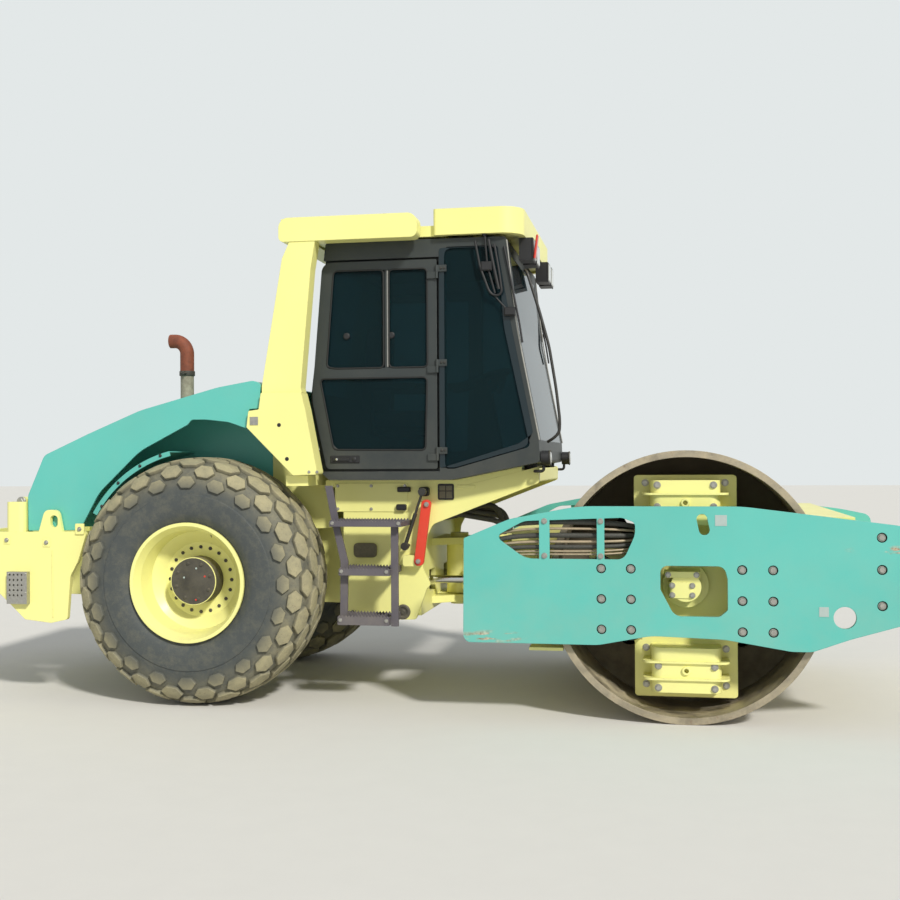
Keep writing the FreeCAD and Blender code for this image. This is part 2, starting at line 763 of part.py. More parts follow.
bumper_outline = [
    (-1616, 1041, 40), (-711, 1051, 20), (-772, 863, 60), (-822, 773, 60),
    (-843, 503, 20), (-953, 479, 20), (-1129, 498, 20), (-1225, 587, 30), (-1303, 658, 30),
    (-1616, 680, 40),
]
lifting_eye = [(-1040, 1035, 0), (-995, 1184, 40), (-905, 1184, 40), (-875, 1035, 0)]
lifting_slot = [(-957, 1075, 25), (-907, 1075, 25), (-907, 1150, 25), (-957, 1150, 25)]
hood_pivot = (-1200, 1233)
hood_lug = [(-1260, 1000, 0), (-1150, 1000, 0), (-1170, 1263, 29), (-1230, 1263, 29)]
front_tab = [(-800, 1040, 0), (-730, 1040, 0), (-742, 1085, 10), (-780, 1085, 10)]


def rear_bumper():
    out = bumper_half_width
    solid = side_profile(rear(bumper_outline), -out, out)
    half = out - bumper_plate
    hollow = block(rear_x(-1616) + bumper_wall, axle_x, -half, half, 0, 2 * axle_z)
    pivot_place = rear_x(hood_pivot[0])
    pivot_z = hood_pivot[1] * rear_scale
    eye = side_profile(rear(lifting_eye), -out, bumper_plate - out)
    slot = side_profile(rear(lifting_slot), -out - 1, bumper_plate - out + 1)
    lug = side_profile(rear(hood_lug), -hood_lug_y - 41, -hood_lug_y)
    hole = rod_y(pivot_place, pivot_z, hood_pin_radius + slide_fit, -hood_lug_y - 31, 1 - hood_lug_y)
    tower = [(rear_x(-1265), 1 - out, 35), (rear_x(-1140), 1 - out, 35),
             (rear_x(-1140), -hood_lug_y - 40, 0), (rear_x(-1265), -hood_lug_y - 40, 0)]
    fittings = [
        rear_block(-1400, -1370, 1 - out, -chassis_half_width - seat_gap, 660, 1000),
        eye.cut(slot),
        plan_profile(tower, 1000 * rear_scale, pivot_z),
        side_profile(rear(front_tab), -out, bumper_plate - out),
        lug.cut(hole),
    ]
    return join([solid.cut(hollow)] + fittings + [mirrored(fitting) for fitting in fittings])


vent_box_outline = [(-1233, 598, 0), (-1096, 598, 0), (-1096, 798, 0), (-1233, 798, 0)]
vent_rows = [(780, 4), (748, 4), (716, 4), (684, 4), (652, 4)]
vent_hole = 7.0


def vent_boxes():
    """Small perforated boxes on the bumper's sides."""
    y0 = -bumper_half_width - 38
    box = side_profile(rear(vent_box_outline), y0, -bumper_half_width - seat_gap)
    wedge = rear_block(-1240, -1090, y0 - 20, y0, 560, 640)
    wedge.rotate(V(rear_x(-1165), y0, 640 * rear_scale), V(1, 0, 0), -35)
    tools = [wedge]
    for z, count in vent_rows:
        for i in range(int(count)):
            x = rear_x(-1212 + 27 * i)
            corners = [(x + across * vent_hole, z * rear_scale + up * vent_hole, 0)
                       for across, up in hexagon]
            tools.append(side_profile(corners, y0 - 1, y0 + 15))
    return Part.makeCompound(pair(cut(box, tools)))


# hood: sheet skin over the engine with arched sides over the tyres

hood_top = [
    (-1131, 1272, 60), (-1019, 1525, 60), (-721, 1657, 300), (-375, 1799, 600), (132, 1934, 600),
]
hood_outline = [(-1128, 1051, 10)] + hood_top + [
    (365, 1973, 60), (410, 1947, 20), (398, 1803, 5), (334, 1799, 5), (322, 1680, 10),
    (200, 1722, 150), (60, 1738, 200), (-37, 1739, 25), (-63, 1708, 20), (-379, 1547, 400),
    (-651, 1289, 300), (-780, 1055, 10),
]
hood_centre = [(-1128, 1060, 10)] + hood_top + [(371, 1973, 60), (330, 1080, 10)]
grille_box = (-1160, -985, 1120, 1480)
grille_half = 420.0
louvre_pitch = 36


def below(points, drop, end_x, end_z):
    """Outline under a run of top points, lower by a drop and open at the bottom."""
    first_x, first_z, radius = points[0]
    shifted = [(first_x + drop + 4, first_z, radius)]
    shifted += [(x + drop * 0.7, z - drop, r) for x, z, r in points[1:]]
    return [(first_x + drop + 7, 900, 0)] + shifted + [(end_x, end_z, 0), (end_x, 900, 0)]


def hood_shell():
    out = hood_half_width
    whole = join([side_profile(rear(hood_outline), -out, out),
                  side_profile(rear(hood_centre), -hood_centre_y, hood_centre_y)])
    room = rear(below(hood_top, hood_skin, 500, 1975))
    wing = rear(below(hood_top, hood_skin, 384, 1950))
    tools = [side_profile(room, hood_skin - hood_centre_y, hood_centre_y - hood_skin)]
    tools += pair(side_profile(wing, hood_skin - out, -hood_centre_y))
    tools.append(rod_z(rear_x(exhaust_place), -300, exhaust_radius + seat_gap,
                       1700 * rear_scale, 1900 * rear_scale))
    x0, x1, z0, z1 = grille_box
    tools.append(rear_block(x0, x1, -grille_half, grille_half, z0, z1))
    pivot_place = rear_x(hood_pivot[0])
    pivot_z = hood_pivot[1] * rear_scale
    wall_x = rear_x(-1120)
    plate = side_profile([
        (pivot_place - 30, pivot_z - 30, 29), (wall_x, pivot_z - 60, 0),
        (wall_x, pivot_z + 30, 0), (pivot_place - 30, pivot_z + 30, 29)], -hood_arm_y, 20 - hood_arm_y)
    pin = rod_y(pivot_place, pivot_z, hood_pin_radius, -hood_lug_y - 25, 1 - hood_arm_y)
    return join([cut(whole, tools)] + pair(plate) + pair(pin))


def hood_grille():
    """Louvred panel in the hood's rear face, cut from the same outline."""
    x0, x1, z0, z1 = grille_box
    half = grille_half - seat_gap
    panel = side_profile(rear(hood_centre), -half, half)
    panel = panel.cut(side_profile(rear(below(hood_top, hood_skin, 384, 1950)), -half - 1, half + 1))
    panel = panel.common(rear_block(x0, x1, -half - 1, half + 1, z0 + seat_gap, z1 - seat_gap))
    slots = []
    for i in range(int((z1 - z0 - 40) / louvre_pitch)):
        z = z0 + 30 + i * louvre_pitch
        for side in (-1, 1):
            y0, y1 = sorted((side * 12, side * (half - 25)))
            slots.append(rear_block(x0 - 40, x1 + 40, y0, y1, z, z + louvre_pitch * 0.6))
    return cut(panel, slots)


mudguard_radius = 808.0
mudguard_lip = 785.0
mudguard_turns = (-60.0, -14.0)


def hood_mudguards():
    """Curved guards round the tyres' rear upper quarter, each with a lip along its outer edge."""
    scale = rear_scale
    y0 = hood_centre_y + seat_gap
    y1 = hood_half_width - 30
    section = [(y0, mudguard_radius), (y1 - 8, mudguard_radius), (y1 - 8, mudguard_lip),
               (y1, mudguard_lip), (y1, mudguard_radius + 8), (y0, mudguard_radius + 8)]
    start, stop = mudguard_turns
    guard = revolved_y([(y, radius * scale) for y, radius in section], axle_x, axle_z, stop - start)
    guard.rotate(V(axle_x, 0, axle_z), V(0, 1, 0), start)
    return Part.makeCompound(pair(guard))


def exhaust_stack():
    """Straight pipe out of the hood with a wider elbow on top that points rearwards."""
    x = rear_x(exhaust_place)
    z = 2290 * rear_scale
    stub = rod_z(x, -300, exhaust_radius, 1760 * rear_scale, z - 200)
    elbow = tube([(x, -300, z - 222), (x, -300, z), (x - 116, -300, z)], exhaust_radius + 2, 87)
    mouth = rod_x(-300, z, exhaust_radius - 2, x - 117, x - 60)
    return join([stub, elbow]).cut(mouth)


def engine_block():
    middle = rear_block(-700, 420, -340, 340, engine_bottom, 1560)
    foot = rear_block(300, 400, -chassis_half_width, 61 - chassis_half_width,
                      engine_bottom + seat_gap, 1090)
    return join([middle] + pair(foot))


# cab: framed box with a door on each side, standing on rubber mounts

cab_side = [
    (792, 1363, 20), (1557, 1363, 60), (2090, 1467, 20), (2085, 1593, 20),
    (1950, 2293, 900), (1895, 2822, 20), (776, 2822, 20), (663, 1853, 300), (745, 1405, 20),
]
cab_room = [
    (830, 1405, 0), (1540, 1405, 60), (2030, 1500, 20), (2030, 1593, 20),
    (1900, 2293, 900), (1850, 2780, 20), (820, 2780, 20), (706, 1853, 300), (790, 1440, 20),
]
door_pocket = [(600, 1415, 0), (1484, 1415, 0), (1484, 2712, 0), (600, 2712, 0)]
door_opening = [
    (825, 1480, 60), (1430, 1480, 30), (1430, 2690, 30), (800, 2690, 30), (735, 1870, 200),
]
front_glass = [
    (1515, 1430, 20), (1575, 1430, 40), (2035, 1560, 30), (1880, 2290, 900),
    (1845, 2770, 30), (1515, 2770, 30),
]
door_outline = [
    (776, 1430, 30), (1470, 1430, 10), (1470, 2699, 10), (754, 2699, 60), (685, 1858, 300),
]
upper_window = [(827, 2047, 20), (1412, 2047, 20), (1412, 2645, 20), (825, 2645, 20), (778, 2047, 20)]
lower_window = [(822, 1549, 60), (1398, 1544, 30), (1410, 1985, 30), (735, 1985, 30)]
window_bar = (1145, 1169)
door_hinges = [2620, 2050, 1520]
hinge_place = 1473
hinge_y = -cab_half_width - 10
hinge_leaf = 60
windscreen_z = (1600, 2730)
rear_window_z = (1900, 2740)
cab_inner_y = cab_half_width - cab_wall


def hinge_half(z0, z1, side):
    """Leaf, pad and knuckle of a hinge half, ahead of the pin (side 1) or behind it (-1)."""
    x = rear_x(hinge_place)
    leaf_x = sorted((x, x + side * hinge_leaf))
    pad_x = sorted((x + side * 20, x + side * hinge_leaf))
    out = -cab_half_width
    return join([block(*leaf_x, out - 14, out - 6, z0, z1), block(*pad_x, out - 14, out + 1, z0, z1),
                 rod_z(x, hinge_y, hinge_radius, z0, z1)])


def cab_frame():
    """Cab body: two side frames with door openings and a shell with front and rear windows."""
    out = cab_half_width
    door_plane = out - door_thick - door_plane_gap
    side = cut(side_profile(rear(cab_side), -out, -cab_inner_y), [
        side_profile(rear(door_pocket), -out - 1, -door_plane),
        side_profile(rear(door_opening), -out - 1, 1 - cab_inner_y),
        side_profile(rear(front_glass), -out - 1, 1 - cab_inner_y)])
    x = rear_x(hinge_place)
    for z in door_hinges:
        z0 = z * rear_scale
        knuckle = hinge_half(z0 + seat_gap, z0 + hinge_length, 1)
        pin_hole = rod_z(x, hinge_y, hinge_pin_radius + seat_gap, z0 - 1, z0 + hinge_length + 1)
        side = side.fuse(knuckle.cut(pin_hole))
    shell = side_profile(rear(cab_side), -cab_inner_y - 1, cab_inner_y + 1)
    shell = shell.cut(side_profile(rear(cab_room), -cab_inner_y - 2, cab_inner_y + 2))
    half = cab_inner_y - glass_border
    shell = cut(shell, [rear_block(1500, 2200, -half, half, *windscreen_z),
                        rear_block(400, 1000, -half, half, *rear_window_z)])
    return join(pair(side) + [shell])


def curved_pane(edge, shift):
    """Pane along an outline's outer edge; what lies a pane's thickness inside is cut away."""
    half = cab_inner_y - glass_border - seat_gap
    inside = [(x + shift, z, radius) for x, z, radius in rear(edge)]
    return side_profile(rear(edge), -half, half).cut(side_profile(inside, -half - 1, half + 1))


def windscreen():
    z0, z1 = windscreen_z
    edge = [(1500, z0 + seat_gap, 0), (2084, z0 + seat_gap, 0), (1950, 2293, 900),
            (1903, z1 - seat_gap, 0), (1500, z1 - seat_gap, 0)]
    return curved_pane(edge, -glass_thick)


def rear_window():
    z0, z1 = rear_window_z
    edge = [(1500, z0 + seat_gap, 0), (670, z0 + seat_gap, 0), (765, z1 - seat_gap, 0),
            (1500, z1 - seat_gap, 0)]
    return curved_pane(edge, glass_thick)


def glass_sheet(points, y0):
    """Flat pane a seat gap inside an opening's outline."""
    wire = rounded_wire(rear(points), lambda a, b: V(a, y0, b))
    return Part.Face(wire.makeOffset2D(-seat_gap)).extrude(V(0, glass_thick, 0))


def side_glass():
    return glass_sheet(front_glass, 10 - cab_half_width)


def cab_mounts():
    """Rubber blocks between the frame and the cab floor."""
    under = side_profile(rear(cab_side), -cab_half_width, cab_half_width)
    under.translate(V(0, 0, -seat_gap))
    pieces = []
    for x, top in ((900, 1280), (1270, 1280), (2010, 1400)):
        foot = rod_z(rear_x(x), 70 - side_plate_y, 40, top * rear_scale + seat_gap, 1480 * rear_scale)
        pieces += pair(foot.cut(under))
    return Part.makeCompound(pieces)


def cab_crossbeam():
    """Folded beam between the side frames' front ends, under the front cab mounts."""
    half = side_plate_y - side_plate_thick - seat_gap
    return side_profile(rear([(1975, 1340, 5), (2068, 1346, 10), (2068, 1430, 5), (2056, 1430, 5),
                              (2056, 1400, 5), (1975, 1400, 5)]), -half, half)


def door_frame():
    """Door leaf with two windows, a slider bar and its hinge halves with their pins."""
    out = cab_half_width
    y0 = -out
    y1 = door_thick - out
    windows = [side_profile(rear(outline), y0 - 1, y1 + 1) for outline in (upper_window, lower_window)]
    panel = cut(side_profile(rear(door_outline), y0, y1), windows)
    bar = rear_block(*window_bar, y0 + 8, y1 - 8, 2046, 2646)
    hinges = []
    for z in door_hinges:
        z0 = z * rear_scale
        hinges.append(hinge_half(z0 - hinge_length, z0, -1))
        hinges.append(rod_z(rear_x(hinge_place), hinge_y, hinge_pin_radius, z0 - 40, z0 + hinge_length))
    return join([panel, bar] + hinges)


def door_glass():
    y0 = 14 - cab_half_width
    bar = block(rear_x(window_bar[0]) - seat_gap, rear_x(window_bar[1]) + seat_gap,
                y0 - 1, y0 + door_thick, 0, 4 * axle_z)
    return Part.makeCompound([glass_sheet(upper_window, y0).cut(bar), glass_sheet(lower_window, y0)])


# roof and roll-over frame

rops_post = [
    (423, 1894, 0), (423, 1934, 60), (553, 2704, 30), (600, 2806, 0), (760, 2806, 0),
    (732, 2637, 60), (668, 1922, 0), (674, 1894, 0),
]
rops_base = [
    (421, 1894, 5), (407, 1794, 10), (342, 1786, 10), (330, 1687, 10), (622, 1395, 15),
    (775, 1400, 15), (700, 1790, 40), (674, 1894, 5),
]
rops_beam = [(533, 2805, 30), (1388, 2805, 40), (1388, 2950, 60), (533, 2950, 60)]


def rops_frame():
    """Roll-over posts behind the cab, side beams over its doors and a rear cross tube."""
    y0 = -rops_y
    y1 = rops_depth - rops_y
    pieces = []
    for outline, grow in ((rops_post, 0), (rops_base, 15), (rops_beam, 5)):
        pieces += pair(side_profile(rear(outline), y0 - grow, y1 + grow))
    pieces.append(rear_block(545, 690, y0 + 10, -y0 - 10, 2825, 2945))
    return join(pieces)


def cab_roof():
    """Roof cap over the cab: flat panel with a deep rounded visor in front."""
    x0 = rear_x(1459)
    x1 = rear_x(1997)
    half = 820
    visor = plan_profile([(x0, -half, 20), (x1, -half, 140), (x1, half, 140), (x0, half, 20)],
                         2835 * rear_scale, 2993 * rear_scale)
    x0 += 60
    x1 -= 40
    half -= 40
    lip = plan_profile([(x0, -half, 20), (x1, -half, 120), (x1, half, 120), (x0, half, 20)],
                       2834 * rear_scale, 2850 * rear_scale)
    panel = rear_block(700, 1460, -780, 780, 2835, 2900)
    feet = [rear_block(x - 30, x + 30, y - 30, y + 30, 2822 + seat_gap, top)
            for x, top in ((900, 2836), (1700, 2851)) for y in (-600, 600)]
    return join([visor.cut(lip), panel] + feet)


# ladders, lock bar and strut outside the side frames

# (rear end, front end, bottom, top) of each step
steps = [(843, 1282, 1087, 1130), (899, 1210, 796, 845), (891, 1206, 501, 560)]
tooth_pitch = 19.0
tooth_height = 13.0
step_plate = 6.0


def toothed_strip(x0, x1, z0, z1, y0):
    """Upright strip with saw teeth along its top edge."""
    count = int((x1 - x0) / tooth_pitch)
    pitch = (x1 - x0) / count
    outline = [V(x0, y0, z0)]
    for i in range(count):
        outline.append(V(x0 + i * pitch, y0, z1 - tooth_height))
        outline.append(V(x0 + (i + 0.6) * pitch, y0, z1))
    outline += [V(x1, y0, z1 - tooth_height), V(x1, y0, z0)]
    return Part.Face(Part.makePolygon(outline + outline[:1])).extrude(V(0, step_plate, 0))


def step_ladder():
    """Three channel steps with toothed edges, held by two bent flat bars and side lugs."""
    y0 = -ladder_y
    y1 = -side_plate_y - seat_gap
    pieces = []
    for a, b, low, high in steps:
        x0 = rear_x(a)
        x1 = rear_x(b)
        z0 = low * rear_scale
        z1 = high * rear_scale
        for y in (y0, y0 + 110, y0 + 220):
            pieces.append(toothed_strip(x0, x1, z0, z1, y))
        pieces.append(block(x0, x1, y0 + 1, y0 + 225, z0, z0 + step_plate))
        for x in (x0, x1 - 12):
            pieces.append(block(x, x + 12, y0 + 1, y1, z0, z1 - tooth_height))
    rear_bar = [
        (798, 1331, 0), (843, 1331, 0), (885, 1101, 20), (940, 873, 20), (935, 490, 0),
        (890, 490, 0), (894, 873, 20), (843, 1101, 20)]
    front_bar = [(1206, 490, 0), (1250, 490, 0), (1250, 1110, 20), (1206, 1110, 0)]
    for outline in (rear_bar, front_bar):
        pieces.append(side_profile(rear(outline), y0 + 60, y0 + 78))
    return join(pieces)


def lock_bar():
    """Red bar that locks the steering for transport, stowed on two pins."""
    y = -side_plate_y - 60
    bar = side_profile(rear([(1301, 835, 28), (1361, 835, 28), (1415, 1240, 28), (1355, 1240, 28)]),
                       y - 12, y + 12)
    pins = [rod_y(rear_x(x), z * rear_scale, 18, y - 20, -side_plate_y - seat_gap)
            for x, z in ((1331, 863), (1385, 1212))]
    return join([bar] + pins)


def latch_strut():
    """Dark strut with clevis ends between the side frame's top and the ladder's front."""
    y = -side_plate_y - 105
    start = V(rear_x(1256), y, 957 * rear_scale)
    stop = V(rear_x(1366), y, 1290 * rear_scale)
    pieces = [rod_between(start, stop, 8), rod_between(start, start + (stop - start) * 0.6, 12)]
    for end in (start, stop):
        pieces.append(rod_y(end.x, end.z, 24, y - 18, y + 18))
        pieces.append(rod_y(end.x, end.z, 10, y, -side_plate_y - seat_gap))
    return join(pieces)


# inside the cab

def cab_floor(x):
    """Height of the cab's sloping toe board."""
    (x0, z0, radius0), (x1, z1, radius1) = cab_room[1:3]
    return z0 + (x - x0) * (z1 - z0) / (x1 - x0) + seat_gap / rear_scale


seat_cushion = [(900, 1700, 30), (1380, 1700, 60), (1380, 1820, 60), (900, 1810, 30)]
seat_back = [(880, 1800, 20), (1000, 1800, 20), (930, 2400, 40), (830, 2400, 40)]


def operator_seat():
    floor = cab_room[0][1]
    base = rear_block(950, 1300, -200, 200, floor + seat_gap / rear_scale, 1700)
    cushion = side_profile(rear(seat_cushion), -250, 250)
    back = side_profile(rear(seat_back), -240, 240)
    rest = rear_block(960, 1280, -310, -250, 1900, 1960)
    post = rear_block(960, 1010, -311, -249, 1700, 1901)
    return join([base, cushion, back] + pair(rest) + pair(post))


def steering_column():
    """Column and console with the steering wheel, a six-sided ring on two spokes."""
    post = side_profile(rear([(1640, cab_floor(1640), 0), (1780, cab_floor(1780), 0), (1680, 1990, 0),
                              (1600, 1980, 0)]), -60, 60)
    centre = V(rear_x(1620), 0, 2010 * rear_scale)
    section = [V(190 + 16 * across, 0, 16 * up) for across, up in hexagon]
    ring = Part.Face(Part.makePolygon(section + section[:1])).revolve(V(0, 0, 0), V(0, 0, 1), 360)
    spoke = block(-190, 190, -14, 14, -12, 12)
    hub = Part.makeCylinder(40, 90, V(0, 0, -70), V(0, 0, 1))
    wheel = join([ring, spoke, hub])
    wheel.rotate(V(0, 0, 0), V(0, 1, 0), -19)
    wheel.translate(centre)
    return join([post, wheel])


def work_lamps():
    """Lamps under the visor and a round lamp on each front corner of the frame."""
    lamps = []
    for y in (-560, -360, 360, 560):
        lamps.append(rear_block(1955, 2035, y - 70, y + 70, 2700, 2835 - seat_gap / rear_scale))
    lamp_y = side_plate_y + 80
    x = rear_x(2116)
    z = 1492 * rear_scale
    bowl = rod_x(-lamp_y, z, 45, x - 24, x + 24)
    arm = tube([(x - 10, -lamp_y, z - 40), (x - 10, -lamp_y, z - 80), (x - 66, -lamp_y, z - 80),
                (x - 66, -side_plate_y - seat_gap, z - 80)], 9)
    lamps += pair(join([bowl, arm]))
    return Part.makeCompound(lamps)


def build():
    save("drum_shell", drum_shell())
    save("drum_heads", drum_heads())
    save("rear_crossbeam", rear_crossbeam())
    save("front_crossbeam", front_crossbeam())
    save("rubber_buffers", rubber_buffers())
    save("scrapers", scrapers())
    save("front_hoses", front_hoses())
    save("articulation_yoke", articulation_yoke())
    save("pivot_hoses", pivot_hoses())
    for name, side in (("right", -1), ("left", 1)):
        save("cylinder_barrel_" + name, cylinder_barrel(side))
        save("cylinder_rod_" + name, cylinder_rod(side))
        save("rim_" + name, rim(side))
    save("rear_frame", rear_frame())
    save("rear_axle", rear_axle())
    save("rear_bumper", rear_bumper())
    save("vent_boxes", vent_boxes())
    save("hood_shell", hood_shell())
    save("hood_grille", hood_grille())
    save("hood_mudguards", hood_mudguards())
    save("exhaust_stack", exhaust_stack())
    save("engine_block", engine_block())
    save("cab_frame", cab_frame())
    save("cab_mounts", cab_mounts())
    save("cab_crossbeam", cab_crossbeam())
    save("windscreen", windscreen())
    save("rear_window", rear_window())
    save("rops_frame", rops_frame())
    save("cab_roof", cab_roof())
    save("operator_seat", operator_seat())
    save("steering_column", steering_column())
    save("work_lamps", work_lamps())
    save("lock_bar", lock_bar())
    save("latch_strut", latch_strut())
    left_tyre = tyre()
    save("tyre_left", left_tyre)
    save("tyre_right", mirrored(left_tyre))
    for name, shape in (("front_plate", front_plate()), ("drum_support", drum_support()),
                        ("frame_side", frame_side()), ("side_glass", side_glass()),
                        ("door_frame", door_frame()), ("door_glass", door_glass()),
                        ("step_ladder", step_ladder())):
        save(name + "_right", shape)
        save(name + "_left", mirrored(shape))


build()
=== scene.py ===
import math
from functools import partial
import bpy
import bmesh
import numpy as np
from mathutils import Matrix, Vector


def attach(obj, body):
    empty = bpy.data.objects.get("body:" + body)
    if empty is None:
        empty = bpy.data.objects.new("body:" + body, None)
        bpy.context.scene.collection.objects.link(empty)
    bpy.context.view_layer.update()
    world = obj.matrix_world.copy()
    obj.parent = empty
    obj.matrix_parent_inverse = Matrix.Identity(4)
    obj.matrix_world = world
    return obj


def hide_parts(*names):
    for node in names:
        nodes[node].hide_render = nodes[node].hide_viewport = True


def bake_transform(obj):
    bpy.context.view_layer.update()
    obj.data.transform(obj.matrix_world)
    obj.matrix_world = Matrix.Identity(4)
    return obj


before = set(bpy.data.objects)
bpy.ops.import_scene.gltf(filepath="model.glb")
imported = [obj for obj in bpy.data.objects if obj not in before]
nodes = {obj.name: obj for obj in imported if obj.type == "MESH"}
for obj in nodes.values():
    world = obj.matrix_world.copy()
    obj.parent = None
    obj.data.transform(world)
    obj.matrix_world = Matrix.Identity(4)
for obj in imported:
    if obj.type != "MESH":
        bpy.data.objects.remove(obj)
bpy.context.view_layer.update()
rng = np.random.default_rng(11)
place = {"drumX": 1.61, "axleX": -1.324, "axleZ": 0.755, "pivotX": 0.143}  # metres, in the CAD frame
rear, front = "rear_unit", "front_unit"  # the bodies that most pieces ride on
sides = {"right": -1, "left": 1}
outward = (0, -1, 0)  # away from the right side, where pieces are made before they are mirrored
print("frame loaded,", len(nodes), "nodes")


def rearX(distance):  # a place measured from the rear axle
    return place["axleX"] + distance


def frontX(distance):  # a place measured from the drum's axis
    return place["drumX"] + distance


def linked(name, data):  # a new object in the scene
    made = bpy.data.objects.new(name, data)
    bpy.context.scene.collection.objects.link(made)
    return made


def turnAbout(axis, degrees):
    return Matrix.Rotation(math.radians(degrees), 3, axis)


# camera, light and backdrop

view = {
    "spot": (1.5212, -7.8146, 1.4812), "lens": 47.503,  # metres, millimetres on a 36 mm sensor
    "yaw": 10.442, "pitch": 0.494, "roll": 0.301, "farEnd": 200,  # degrees, metres
}
studio = {
    "world": 0.5, "worldTint": (0.93, 0.97, 1.0, 1), "backdrop": "#E3E8E8", "floor": "#DAD8D3",
    "sun": 3.1, "sunTint": (1.0, 0.97, 0.91), "sunFrom": (0.8, -1.0, 0.95), "sunAngle": 6, "floorReach": 60,
}

cameraData = bpy.data.cameras.new("camera")
cameraData.lens = view["lens"]
cameraData.clip_end = view["farEnd"]
camera = linked("camera", cameraData)
looking = turnAbout("Z", view["yaw"]) @ turnAbout("X", view["pitch"]) @ turnAbout("Y", view["roll"])
camera.matrix_world = Matrix.Translation(view["spot"]) @ (looking @ turnAbout("X", 90)).to_4x4()
bpy.context.scene.camera = camera
bpy.context.scene.view_settings.view_transform = "Standard"


# sRGB hex to linear: c / 12.92 below 0.04045, otherwise ((c + 0.055) / 1.055) ** 2.4; shade darkens the result
def colour(code, shade=1.0):
    c = np.array([int(code[i:i + 2], 16) for i in (1, 3, 5)]) / 255
    return (*(shade * v for v in np.where(c <= 0.04045, c / 12.92, ((c + 0.055) / 1.055) ** 2.4).tolist()), 1.0)


# adds a shader node: inputs are values or sockets, and the answer is its output socket of the given name or number
def grow(tree, kind, inputs={}, out=0, **settings):
    node = tree.nodes.new("ShaderNode" + kind)
    for key, value in settings.items():
        setattr(node, key, value)
    for key, value in inputs.items():
        if isinstance(value, bpy.types.NodeSocket):
            tree.links.new(value, node.inputs[key])
        else:
            node.inputs[key].default_value = value
    return node.outputs[out] if node.outputs else None


times = {"operation": "MULTIPLY", "use_clamp": True}
plus = {"operation": "ADD", "use_clamp": True}
larger = {"operation": "MAXIMUM", "use_clamp": True}
blend = {"data_type": "RGBA", "out": 2}  # Mix: 0 is the share, 6 and 7 are the colours

world = bpy.data.worlds.new("studio")
world.use_nodes = True
bpy.context.scene.world = world
world.node_tree.nodes.clear()
add = partial(grow, world.node_tree)
seen = add("Math", {0: add("LightPath", out="Is Camera Ray"), 1: add("LightPath", out="Is Glossy Ray")},
           operation="MAXIMUM")
seen = add("Math", {0: seen, 1: add("LightPath", out="Is Transmission Ray")}, operation="MAXIMUM")
light = add("Background", {"Color": studio["worldTint"], "Strength": studio["world"]})
backdrop = add("Background", {"Color": colour(studio["backdrop"]), "Strength": 1.0})
add("OutputWorld", {"Surface": add("MixShader", {0: seen, 1: light, 2: backdrop})})

sunData = bpy.data.lights.new("sun", "SUN")
sunData.energy = studio["sun"]
sunData.angle = math.radians(studio["sunAngle"])
sunData.color = studio["sunTint"]
sun = linked("sun", sunData)
sun.rotation_euler = Vector(studio["sunFrom"]).to_track_quat("Z", "Y").to_euler()  # it shines down its own -Z


# materials: each starts from what the real surface is and how it was made

def blank(name):  # a new material, the function that adds its nodes, and the object coordinates
    material = bpy.data.materials.new(name)
    material.use_nodes = True
    material.node_tree.nodes.clear()
    add = partial(grow, material.node_tree)
    return material, add, add("TexCoord", out="Object")


def finished(material, add, inputs):
    add("OutputMaterial", {"Surface": add("BsdfPrincipled", inputs)})
    return material


# noise cut to 0 … 1 between low and high
def spots(add, where, scale, low, high, detail=5.0, roughness=0.6, stretch=None):
    if stretch:
        where = add("Mapping", {"Scale": stretch, "Vector": where})
    cloud = add("TexNoise", {"Scale": scale, "Detail": detail, "Roughness": roughness, "Vector": where})
    return add("MapRange", {0: cloud, 1: low, 2: high})


